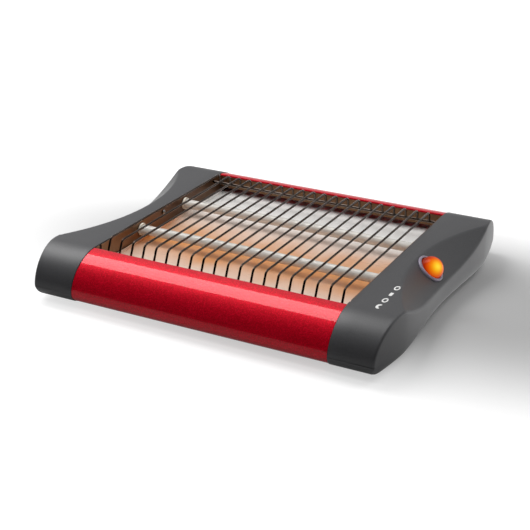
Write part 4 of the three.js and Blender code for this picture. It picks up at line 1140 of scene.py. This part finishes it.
# %% The heaters
coil_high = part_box("front_heater_coil")[1]
holder_low, holder_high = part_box("front_right_ceramic_end")
TUBE_RADIUS = (tube_high.z - tube_low.z) / 2
TUBE_WALL = 1.1 * MM
COIL_RADIUS = 2.9 * MM
COIL_WIRE = 0.38 * MM
COIL_TURNS = 104.0
COIL_LENGTH = 240 * MM
TAIL_RADIUS = 0.9 * MM
TAIL_START = 0.49 * COIL_LENGTH
tails = bpy.data.meshes.new("coil_tails")
tail_ends = [(0, 0, z) for z in (-coil_high.x, -TAIL_START, TAIL_START, coil_high.x)]
tails.from_pydata(tail_ends, [(0, 1), (2, 3)], [])
edge_soft = 0.3 * MM
tube_profile = rounded(
    [(TUBE_RADIUS - TUBE_WALL, tube_low.x), (TUBE_RADIUS, tube_low.x), (TUBE_RADIUS, tube_high.x),
     (TUBE_RADIUS - TUBE_WALL, tube_high.x)], [edge_soft] * 4, 3,
)
flange_r, groove_r, bore_r, tail_r = 6.3 * MM, 5.6 * MM, 5.05 * MM, 1.2 * MM
END_WALL = 3 * MM
start_x, end_x = holder_low.x, holder_high.x
groove_start, groove_end = RAIL_END - 1.1 * MM, RAIL_END + gap
holder_profile = rounded(
    [(bore_r, start_x), (flange_r, start_x), (flange_r, groove_start), (groove_r, groove_start),
     (groove_r, groove_end), (flange_r, groove_end), (flange_r, end_x), (tail_r, end_x),
     (tail_r, end_x - END_WALL), (bore_r, end_x - END_WALL)],
    [0.4 * MM, 0.5 * MM, 0.3 * MM, 0, 0, 0.3 * MM, 0.6 * MM, 0.3 * MM, 0, 0], 3,
)
lay_along_x = Matrix.Rotation(math.pi / 2, 4, "Y")
for row, way in (("front", -1), ("back", 1)):
    spot = Matrix.Translation((0, way * HEATER_REACH, HEATER_HEIGHT))
    tube = smooth(lathe(f"{row}_tube", tube_profile, 48))
    tube.transform(spot @ lay_along_x)
    new_piece(f"{row}_satin_tube", tube, quartz, replaces=[f"{row}_quartz_tube"])
    coil = grow(
        f"{row}_wound_coil", tails.copy(), coils, turns=COIL_TURNS, radius=COIL_RADIUS - COIL_WIRE,
        length=COIL_LENGTH, wire_radius=COIL_WIRE, tail_radius=TAIL_RADIUS, finish=coil_alloy,
    )
    coil.transform(spot @ lay_along_x)
    new_piece(f"{row}_wound_coil", coil, coil_alloy, replaces=[f"{row}_heater_coil"])
    for side, turn in (("right", 1), ("left", -1)):
        end = smooth(lathe(f"{row}_{side}_end", holder_profile, 40))
        end.transform(spot @ Matrix.Diagonal((turn, 1, 1, 1)) @ lay_along_x)
        if turn < 0:
            end.flip_normals()
        old = f"{row}_{side}_ceramic_end"
        new_piece(f"{row}_{side}_steatite_end", end, steatite, replaces=[old])
print("coil", len(coil.polygons), "faces each")

# %% [markdown]
# The rocker switch is a round snap-in type. Its bezel rests on the slope of the scoop, and a domed lens
# tips in it. Both are turned shapes with the small radii that a mould gives, laid on the slope by one
# matrix.

# %% The rocker switch
BEZEL = 14.2 * MM
BEZEL_THICK = 2.2 * MM
BARREL = 12.6 * MM
BARREL_LENGTH = 18 * MM
POCKET = BARREL - 0.8 * MM
POCKET_DEPTH = 7 * MM
PIVOT = 1.4 * MM
LENS = POCKET - 0.4 * MM
LENS_EDGE = 1.6 * MM
LENS_TOP = 12.2 * MM
LENS_SKIRT = 2.6 * MM
LENS_TILT = math.radians(7)
PIN_HOLE_REACH = 13.5 * MM
PIN_HOLE_RADIUS = 1.2 * MM
PIN_REACH = 12.2 * MM
PIN_RADIUS = 0.9 * MM
LAMP_SPOT = Vector((1.0 * MM, -4.4 * MM, 10.6 * MM))
GLOW_REACH = 13.2 * MM

housing_profile = rounded(
    [(0, -BARREL_LENGTH), (BARREL, -BARREL_LENGTH), (BARREL, 0), (BEZEL, 0), (BEZEL, BEZEL_THICK - 1 * MM),
     (BEZEL - 1 * MM, BEZEL_THICK), (POCKET, BEZEL_THICK), (POCKET, -POCKET_DEPTH), (0, -POCKET_DEPTH)],
    [0, 0.6 * MM, 0, 0.2 * MM, 0.6 * MM, 0.6 * MM, 0.35 * MM, 0, 0], 5,
)
housing = lathe("switch_bezel", housing_profile, 96)
pin_hole_ends = [(0, way * PIN_HOLE_REACH, -PIVOT) for way in (-1, 1)]
pin_hole = rod_mesh("pin_hole", *pin_hole_ends, PIN_HOLE_RADIUS, 24)
housing = smooth(carve(housing, [pin_hole], "DIFFERENCE"))
housing.transform(switch_seat)
new_piece("switch_bezel", housing, bezel_plastic, replaces=["switch_housing"])

dome = [(0, -LENS_SKIRT), (LENS, -LENS_SKIRT), (LENS, LENS_EDGE - 0.4 * MM)]
for k in range(19):
    angle = math.pi / 2 * k / 18
    height = LENS_EDGE + (LENS_TOP - LENS_EDGE) * math.sin(angle)
    dome.append(((LENS - 0.15 * MM) * math.cos(angle), height))
lens = lathe("rocker_lens", dome, 96)
lens.transform(Matrix.Translation((0, 0, PIVOT)))
pin = rod_mesh("pin", (0, -PIN_REACH, 0), (0, PIN_REACH, 0), PIN_RADIUS, 24)
lens = smooth(carve(lens, [pin], "UNION"), 40)
rocker_place = switch_seat @ Matrix.Translation((0, 0, -PIVOT)) @ Matrix.Rotation(LENS_TILT, 4, "Y")
lens.transform(rocker_place)
amber = lit_lens("rocker_amber_polycarbonate", rocker_place @ LAMP_SPOT, GLOW_REACH)
new_piece("rocker_lens", lens, amber, body="rocker", replaces=["switch_rocker"])
print("switch at", [round(c, 4) for c in switch_seat.translation])

# %% [markdown]
# Sixteen screws of two lengths hold the toaster together. They stand in three sets: those of the caps,
# those of the sheets and the tray's own two. One pan-head screw with a cross recess is modelled for a
# set, and a tree puts copies on points that carry the direction each screw faces.

# %% The screws
def screw_tree():
    tree, entry = start_tree("screw_tree", {"Screw": "Object"})
    model = {"Object": entry["Screw"]}
    shape = add_node(tree, "GeometryNodeObjectInfo", model, transform_space="ORIGINAL").outputs["Geometry"]
    facing = add_node(tree, "GeometryNodeInputNamedAttribute", {"Name": "facing"}, data_type="FLOAT_VECTOR")
    way = {"Vector": facing.outputs["Attribute"]}
    turn = add_node(tree, "FunctionNodeAlignRotationToVector", way, axis="Z").outputs["Rotation"]
    copies = {"Points": entry["Geometry"], "Instance": shape, "Rotation": turn}
    placed = add_node(tree, "GeometryNodeInstanceOnPoints", copies).outputs["Instances"]
    return close_tree(tree, [placed], entry["Finish"])


THREAD_PITCH = 1.1 * MM
CORE_SHARE = 0.86
HEAD_RIM = 0.4 * MM
CROSS_SHARE = 0.62
CROSS_HALF_WIDTH = 0.45 * MM
CROSS_DEPTH = 0.9 * MM


def pan_head_screw(name, length, head):
    """Stands on Z: the seat at 0, the shaft up and the head below."""
    head_height, shaft, tip = 1.5 * MM, 1.4 * MM, 1.6 * MM
    core = shaft * CORE_SHARE
    profile = [(0, -gap - head_height)]
    for k in range(1, 7):
        angle = math.pi / 2 * k / 6
        height = -gap - HEAD_RIM - (head_height - HEAD_RIM) * math.cos(angle)
        profile.append((head * math.sin(angle), height))
    profile += [(head, -gap), (core, -gap)]
    for k in range(int((length - tip) / THREAD_PITCH)):
        z = k * THREAD_PITCH
        profile += [(core, z + 0.35 * MM), (shaft, z + 0.55 * MM), (core, z + 0.75 * MM)]
    profile += [(core, length - tip), (0, length)]
    body = lathe(name, profile, 28)
    slots = []
    arm, face = head * CROSS_SHARE, -gap - head_height
    for turn in (0, math.pi / 2):
        slot = box_mesh("slot", (-arm, -CROSS_HALF_WIDTH, face - 1 * MM),
                        (arm, CROSS_HALF_WIDTH, face + CROSS_DEPTH))
        slot.transform(Matrix.Rotation(turn, 4, "Z"))
        slots.append(slot)
    return smooth(carve(body, slots, "DIFFERENCE"))


def screw_points(places):
    mesh = bpy.data.meshes.new("screw_points")
    mesh.from_pydata([place for place, _ in places], [], [])
    facing = mesh.attributes.new("facing", "FLOAT_VECTOR", "POINT")
    for item, (_, way) in zip(facing.data, places):
        item.vector = way
    return mesh


screws = screw_tree()
print("tree", screws.name)

# %% [markdown]
# Each screw's place is its seat, where the head meets the piece that it holds, and the way its tip faces.

# %% Where the screws go
up = (0, 0, 1)
rows = [("front", -1), ("back", 1)]
sides = [("left", -1), ("right", 1)]
INNER_SHEET = 0.8 * MM
BASE_SCREW_X = RAIL_END - INNER_SHEET - 5 * MM
BASE_SCREW_REACH = RAIL_INNER - 27.5 * MM
SCREW_RECESS = 2.6 * MM
rail_screw_reach = {"front": NOSE_REACH - 18.5 * MM, "back": NOSE_REACH - BACK_SCREW_INSET}
rail_screw_seat = {"front": BOTTOM + STEP, "back": RAIL_SPLIT}
RAIL_SCREW_X = RAIL_END - 5.5 * MM
TRAY_SCREW_HEIGHT = TOP - 26.4 * MM
cap_screws, sheet_screws, tray_screws = {}, {}, {}
for row, way in rows:
    for side, turn in sides:
        cap_seat = (turn * BOSS_X, way * BOSS_REACH, SCREW_RECESS)
        rail_seat = (turn * RAIL_SCREW_X, way * rail_screw_reach[row], rail_screw_seat[row])
        base_seat = (turn * BASE_SCREW_X, way * BASE_SCREW_REACH, BOTTOM + STEP)
        cap_screws[f"{row}_{side}_cap_screw"] = (cap_seat, up)
        sheet_screws[f"{row}_{side}_rail_screw"] = (rail_seat, up)
        sheet_screws[f"{row}_{side}_base_screw"] = (base_seat, up)
for side, turn in sides:
    shield_seat = (turn * (RAIL_END - INNER_SHEET), 0, SHIELD_SCREW_HEIGHT)
    tray_seat = (turn * TRAY_SCREW_X, TRAY_FLANGE - INNER_SHEET, TRAY_SCREW_HEIGHT)
    sheet_screws[f"{side}_shield_screw"] = (shield_seat, (turn, 0, 0))
    tray_screws[f"{side}_tray_screw"] = (tray_seat, (0, 1, 0))
sets = [("long_screws", 20, 3.1, cap_screws, "housing"),
        ("short_screws", 7, 2.4, sheet_screws, "housing"),
        ("tray_screws", 7, 2.4, tray_screws, "tray")]
for name, length, head, places, body in sets:
    model = bpy.data.objects.new(name + "_model", pan_head_screw(name, length * MM, head * MM))
    mesh = grow(name, screw_points(places.values()), screws, screw=model, finish=screw_zinc)
    bpy.data.objects.remove(model)
    new_piece(name, mesh, screw_zinc, body, list(places))
    print(name, len(places), "copies,", len(mesh.polygons), "faces")

# %% [markdown]
# Four rubber feet and the cord gland are small turned pieces with soft edges. The foot hides its screw in
# a recess; the gland stands a little proud of its pocket in the back of the right cap.

# %% Feet and gland
foot_profile = rounded(
    [(3.8 * MM, 0), (7 * MM, 0), (8 * MM, BOTTOM - gap), (SCREW_HOLE, BOTTOM - gap),
     (SCREW_HOLE, SCREW_RECESS), (3.8 * MM, SCREW_RECESS)],
    [0.2 * MM, 0.9 * MM, 0.5 * MM, 0, 0, 0.3 * MM], 5,
)
for row, way in rows:
    for side, turn in sides:
        foot = smooth(lathe(f"{row}_{side}_pad", foot_profile, 56))
        foot.transform(Matrix.Translation((turn * BOSS_X, way * BOSS_REACH, 0)))
        new_piece(f"{row}_{side}_rubber_foot", foot, rubber, replaces=[f"{row}_{side}_foot"])

gland_profile = rounded(
    [(3.5 * MM, -GLAND_LENGTH), (4.7 * MM, -GLAND_LENGTH), (4.7 * MM, gap), (7 * MM, gap), (7 * MM, 2.5 * MM),
     (3.5 * MM, 2.5 * MM)], [0.3 * MM, 0.3 * MM, 0, 0.2 * MM, 1.0 * MM, 0.9 * MM], 5,
)
gland = smooth(lathe("cord_grommet", gland_profile, 64))
facing_back = Matrix.Rotation(-math.pi / 2, 4, "X")
gland.transform(Matrix.Translation((BOSS_X, GLAND_FACE, GLAND_HEIGHT)) @ facing_back)
new_piece("cord_grommet", gland, rubber, replaces=["cord_gland"])
print("gland", len(gland.polygons), "faces, foot", len(foot.polygons))

# %% [markdown]
# The remaining nodes are folded sheet or small blocks whose CAD shape is already right. They keep their
# meshes and only get their finish.

# %% Finish the nodes that stay
finishes = [
    (tray_steel, ["crumb_tray"]),
    (wall_steel, ["front_reflector"]),
    # The back wall and the shields take the darker copy, which is painted shade.
    (tint_and_painted_shade_steel, ["back_reflector", "left_heat_shield", "right_heat_shield"]),
    (plain_steel, ["base_plate"]),
    (cap_plastic, ["left_cap_cover", "right_cap_cover"]),
    (nylon, ["terminal_block"]),
    (quartz, ["switch_lamp"]),
    (contact_brass, ["switch_terminal_front", "switch_terminal_middle", "switch_terminal_back"]),
    (sleeve, ["heater_link_lead", "front_heater_lead", "back_heater_lead", "switch_feed_lead"]),
]
kept = {node: finish for finish, nodes in finishes for node in nodes}
for node, finish in kept.items():
    for slot in frame["nodes"][node].material_slots:
        slot.material = finish
shown_plain = [n for n, o in frame["nodes"].items() if not o.hide_render and n not in kept]
print("kept", len(kept), "unfinished", shown_plain)

# %% [markdown]
# The stage is a pale floor. For the camera it is lifted towards white: hardly at all in an oval beside
# the right cap, a painted shadow that deepens the cast one there, nearly all the way beyond it, and to
# plain white far off. Gloss, metal and glass see a floor that is white behind the toaster and grey in
# front, which keeps the front rail's lower half dark.

# %% Floor
NEAR_LIFT = 0.06
FAR_LIFT = 0.8
SHADE_START, SHADE_END = 0.1, 0.42
WHITE_START, WHITE_END = 0.5, 2.0
# The centre and the squeeze of the oval of painted shadow beside the right cap.
PAINTED_SHADOW_SPOT = (0.11, 0.03, 0.0)
PAINTED_SHADOW_OVAL = (0.7, 1.7, 1.0)
MIRRORED_FRONT, MIRRORED_BACK = -0.16, 0.1
MIRRORED_DARK, MIRRORED_PALE = 0.15, 0.95
FLOOR_SIZE = 6
RANGE = ("From Min", "From Max", "To Min", "To Max")


def ray_kinds(tree):
    """Which rays look: the camera's own, and those by way of metal, gloss or glass."""
    path = add_node(tree, "ShaderNodeLightPath").outputs
    ways = {0: path["Is Glossy Ray"], 1: path["Is Transmission Ray"]}
    return path["Is Camera Ray"], add_node(tree, "ShaderNodeMath", ways, operation="MAXIMUM").outputs[0]


def lifts(tree, place):
    """How much white is added to the floor, by place: for the camera, and for what mirrors it."""
    # The lift is held low in an oval beside the right cap, which paints a shadow on the floor.
    shifted = add_node(tree, "ShaderNodeVectorMath", {0: place, 1: PAINTED_SHADOW_SPOT}, operation="SUBTRACT")
    oval = {0: shifted.outputs[0], 1: PAINTED_SHADOW_OVAL}
    squeezed = add_node(tree, "ShaderNodeVectorMath", oval, operation="MULTIPLY").outputs[0]
    away = add_node(tree, "ShaderNodeVectorMath", {0: squeezed}, operation="LENGTH").outputs["Value"]
    depth = add_node(tree, "ShaderNodeSeparateXYZ", {"Vector": place}).outputs["Y"]
    steps = []
    for value, sizes in [
        (away, (SHADE_START, SHADE_END, NEAR_LIFT, FAR_LIFT)),
        (away, (WHITE_START, WHITE_END, 0.0, 1 - FAR_LIFT)),
        (depth, (MIRRORED_FRONT, MIRRORED_BACK, MIRRORED_DARK, MIRRORED_PALE)),
    ]:
        values = {"Value": value, **dict(zip(RANGE, sizes))}
        step = add_node(tree, "ShaderNodeMapRange", values, interpolation_type="SMOOTHSTEP")
        steps.append(step.outputs["Result"])
    near, far, reflected = steps
    return add_node(tree, "ShaderNodeMath", {0: near, 1: far}, operation="ADD").outputs[0], reflected


def stage_floor():
    bm = bmesh.new()
    bmesh.ops.create_grid(bm, x_segments=1, y_segments=1, size=FLOOR_SIZE)
    floor = bpy.data.objects.new("stage_floor", mesh_from(bm, "stage_floor"))
    bpy.context.scene.collection.objects.link(floor)
    material, tree, shader, place = start_material("stage_white", Roughness=0.9, Specular_IOR_Level=0.2)
    shader.inputs["Base Color"].default_value = srgb("#a8a8a8")
    seen, mirrored = ray_kinds(tree)
    shown, reflected = lifts(tree, place)
    to_camera = add_node(tree, "ShaderNodeMath", {0: seen, 1: shown}, operation="MULTIPLY")
    to_mirrors = add_node(tree, "ShaderNodeMath", {0: mirrored, 1: reflected}, operation="MULTIPLY")
    shares = {0: to_camera.outputs[0], 1: to_mirrors.outputs[0]}
    lift = add_node(tree, "ShaderNodeMath", shares, operation="ADD")
    glow = add_node(tree, "ShaderNodeEmission", {"Color": (1, 1, 1, 1), "Strength": lift.outputs[0]})
    both = add_node(tree, "ShaderNodeAddShader", {0: shader.outputs[0], 1: glow.outputs[0]})
    tree.links.new(both.outputs[0], tree.nodes["Material Output"].inputs["Surface"])
    floor.data.materials.append(material)
    print("floor", material.name)


stage_floor()

# %% [markdown]
# A long box lamp overhead and to the left draws the bright band along the rails. A box at the left and a
# low one at the right shape the caps, and two fills light the front and the right without showing in
# gloss.

# %% Lamps
def box_lamp(name, place, target, size, watts, mirrored=True):
    lamp = bpy.data.lights.new(name, "AREA")
    lamp.shape = "RECTANGLE"
    lamp.size, lamp.size_y = size
    lamp.energy = watts
    holder = bpy.data.objects.new(name, lamp)
    holder.location = place
    aim = (Vector(target) - Vector(place)).to_track_quat("-Z", "Y")
    holder.rotation_mode = "QUATERNION"
    holder.rotation_quaternion = aim
    holder.visible_glossy = mirrored
    bpy.context.scene.collection.objects.link(holder)


box_lamp("overhead_box", (-0.7, 0.115, 1.05), (-0.7, 0.115, 0), (1.1, 0.56), 12.0)
box_lamp("left_box", (-1.4, 0.2, 0.7), (0, 0, 0), (0.8, 0.8), 2.4)
box_lamp("right_box", (1.3, 0.45, 0.25), (0.15, 0, 0.03), (0.9, 0.3), 1.4)
box_lamp("front_fill", (0.0, -0.65, 1.15), (0, -0.1, 0.03), (1.2, 0.4), 4.8, mirrored=False)
box_lamp("top_fill", (0.7, 0.45, 1.0), (0.1, 0, 0), (0.7, 0.7), 4.6, mirrored=False)
print("lamps", len(bpy.data.lights))

# %% [markdown]
# The world is the room that the lamps stand in. Its level follows the direction: nearly black in front,
# pale behind. Soft surfaces get a third of it, so that the lamps shape them, and the camera sees plain
# white.

# %% World
FRONT_LEVEL, BACK_LEVEL = 0.02, 0.55
ROOM_FRONT, ROOM_BACK = -0.3, 0.4
DIFFUSE_SHARE = 0.35
world = bpy.data.worlds.new("studio")
bpy.context.scene.world = world
world.use_nodes = True
sky = world.node_tree
around = add_node(sky, "ShaderNodeTexCoord").outputs["Generated"]
way = add_node(sky, "ShaderNodeSeparateXYZ", {"Vector": around}).outputs["Y"]
values = {"Value": way, **dict(zip(RANGE, (ROOM_FRONT, ROOM_BACK, FRONT_LEVEL, BACK_LEVEL)))}
depth = add_node(sky, "ShaderNodeMapRange", values, interpolation_type="SMOOTHSTEP")
seen, mirrored = ray_kinds(sky)
share = add_node(sky, "ShaderNodeMapRange", {"Value": mirrored, "To Min": DIFFUSE_SHARE, "To Max": 1.0})
parts = {0: share.outputs["Result"], 1: depth.outputs["Result"]}
room = add_node(sky, "ShaderNodeMath", parts, operation="MULTIPLY")
level = add_node(sky, "ShaderNodeMath", {0: seen, 1: room.outputs[0]}, operation="MAXIMUM")
sky.links.new(level.outputs[0], sky.nodes["Background"].inputs["Strength"])
sky.nodes["Background"].inputs["Color"].default_value = (1, 1, 1, 1)
print("world", world.name)

# %% [markdown]
# The camera stands where the photograph's did: at the front right, 23.5 degrees up, turned by half a
# degree, with a long lens. Its numbers come from a fit to the outline, the seams, the top edge of the
# rail and the wires' bends, and they give a picture 530 pixels wide.

# %% Camera
PICTURE = 530
FOCAL_PIXELS = 1179.0
AZIMUTH = math.radians(27.351)
ELEVATION = math.radians(23.540)
ROLL = math.radians(0.465)
ASIDE = -9.947 * MM
ABOVE = -39.354 * MM
DISTANCE = 1129.83 * MM
AIM_HEIGHT = 55 * MM
level_back = math.cos(ELEVATION)
back = Vector((math.sin(AZIMUTH) * level_back, -math.cos(AZIMUTH) * level_back, math.sin(ELEVATION)))
right = Vector((math.cos(AZIMUTH), math.sin(AZIMUTH), 0))
upward = back.cross(right)
eye = right * ASIDE + upward * ABOVE + back * DISTANCE + Vector((0, 0, AIM_HEIGHT))
right, upward = (right * math.cos(ROLL) + upward * math.sin(ROLL),
                 upward * math.cos(ROLL) - right * math.sin(ROLL))
view = bpy.data.cameras.new("photo_camera")
view.sensor_width = 36
view.lens = FOCAL_PIXELS / PICTURE * view.sensor_width
view.clip_start, view.clip_end = 0.01, 30
camera = bpy.data.objects.new("photo_camera", view)
camera.matrix_world = Matrix.Translation(eye) @ Matrix((right, upward, back)).transposed().to_4x4()
bpy.context.scene.collection.objects.link(camera)
bpy.context.scene.camera = camera
bpy.context.scene.view_settings.view_transform = "Standard"
print("lens", round(view.lens, 2))
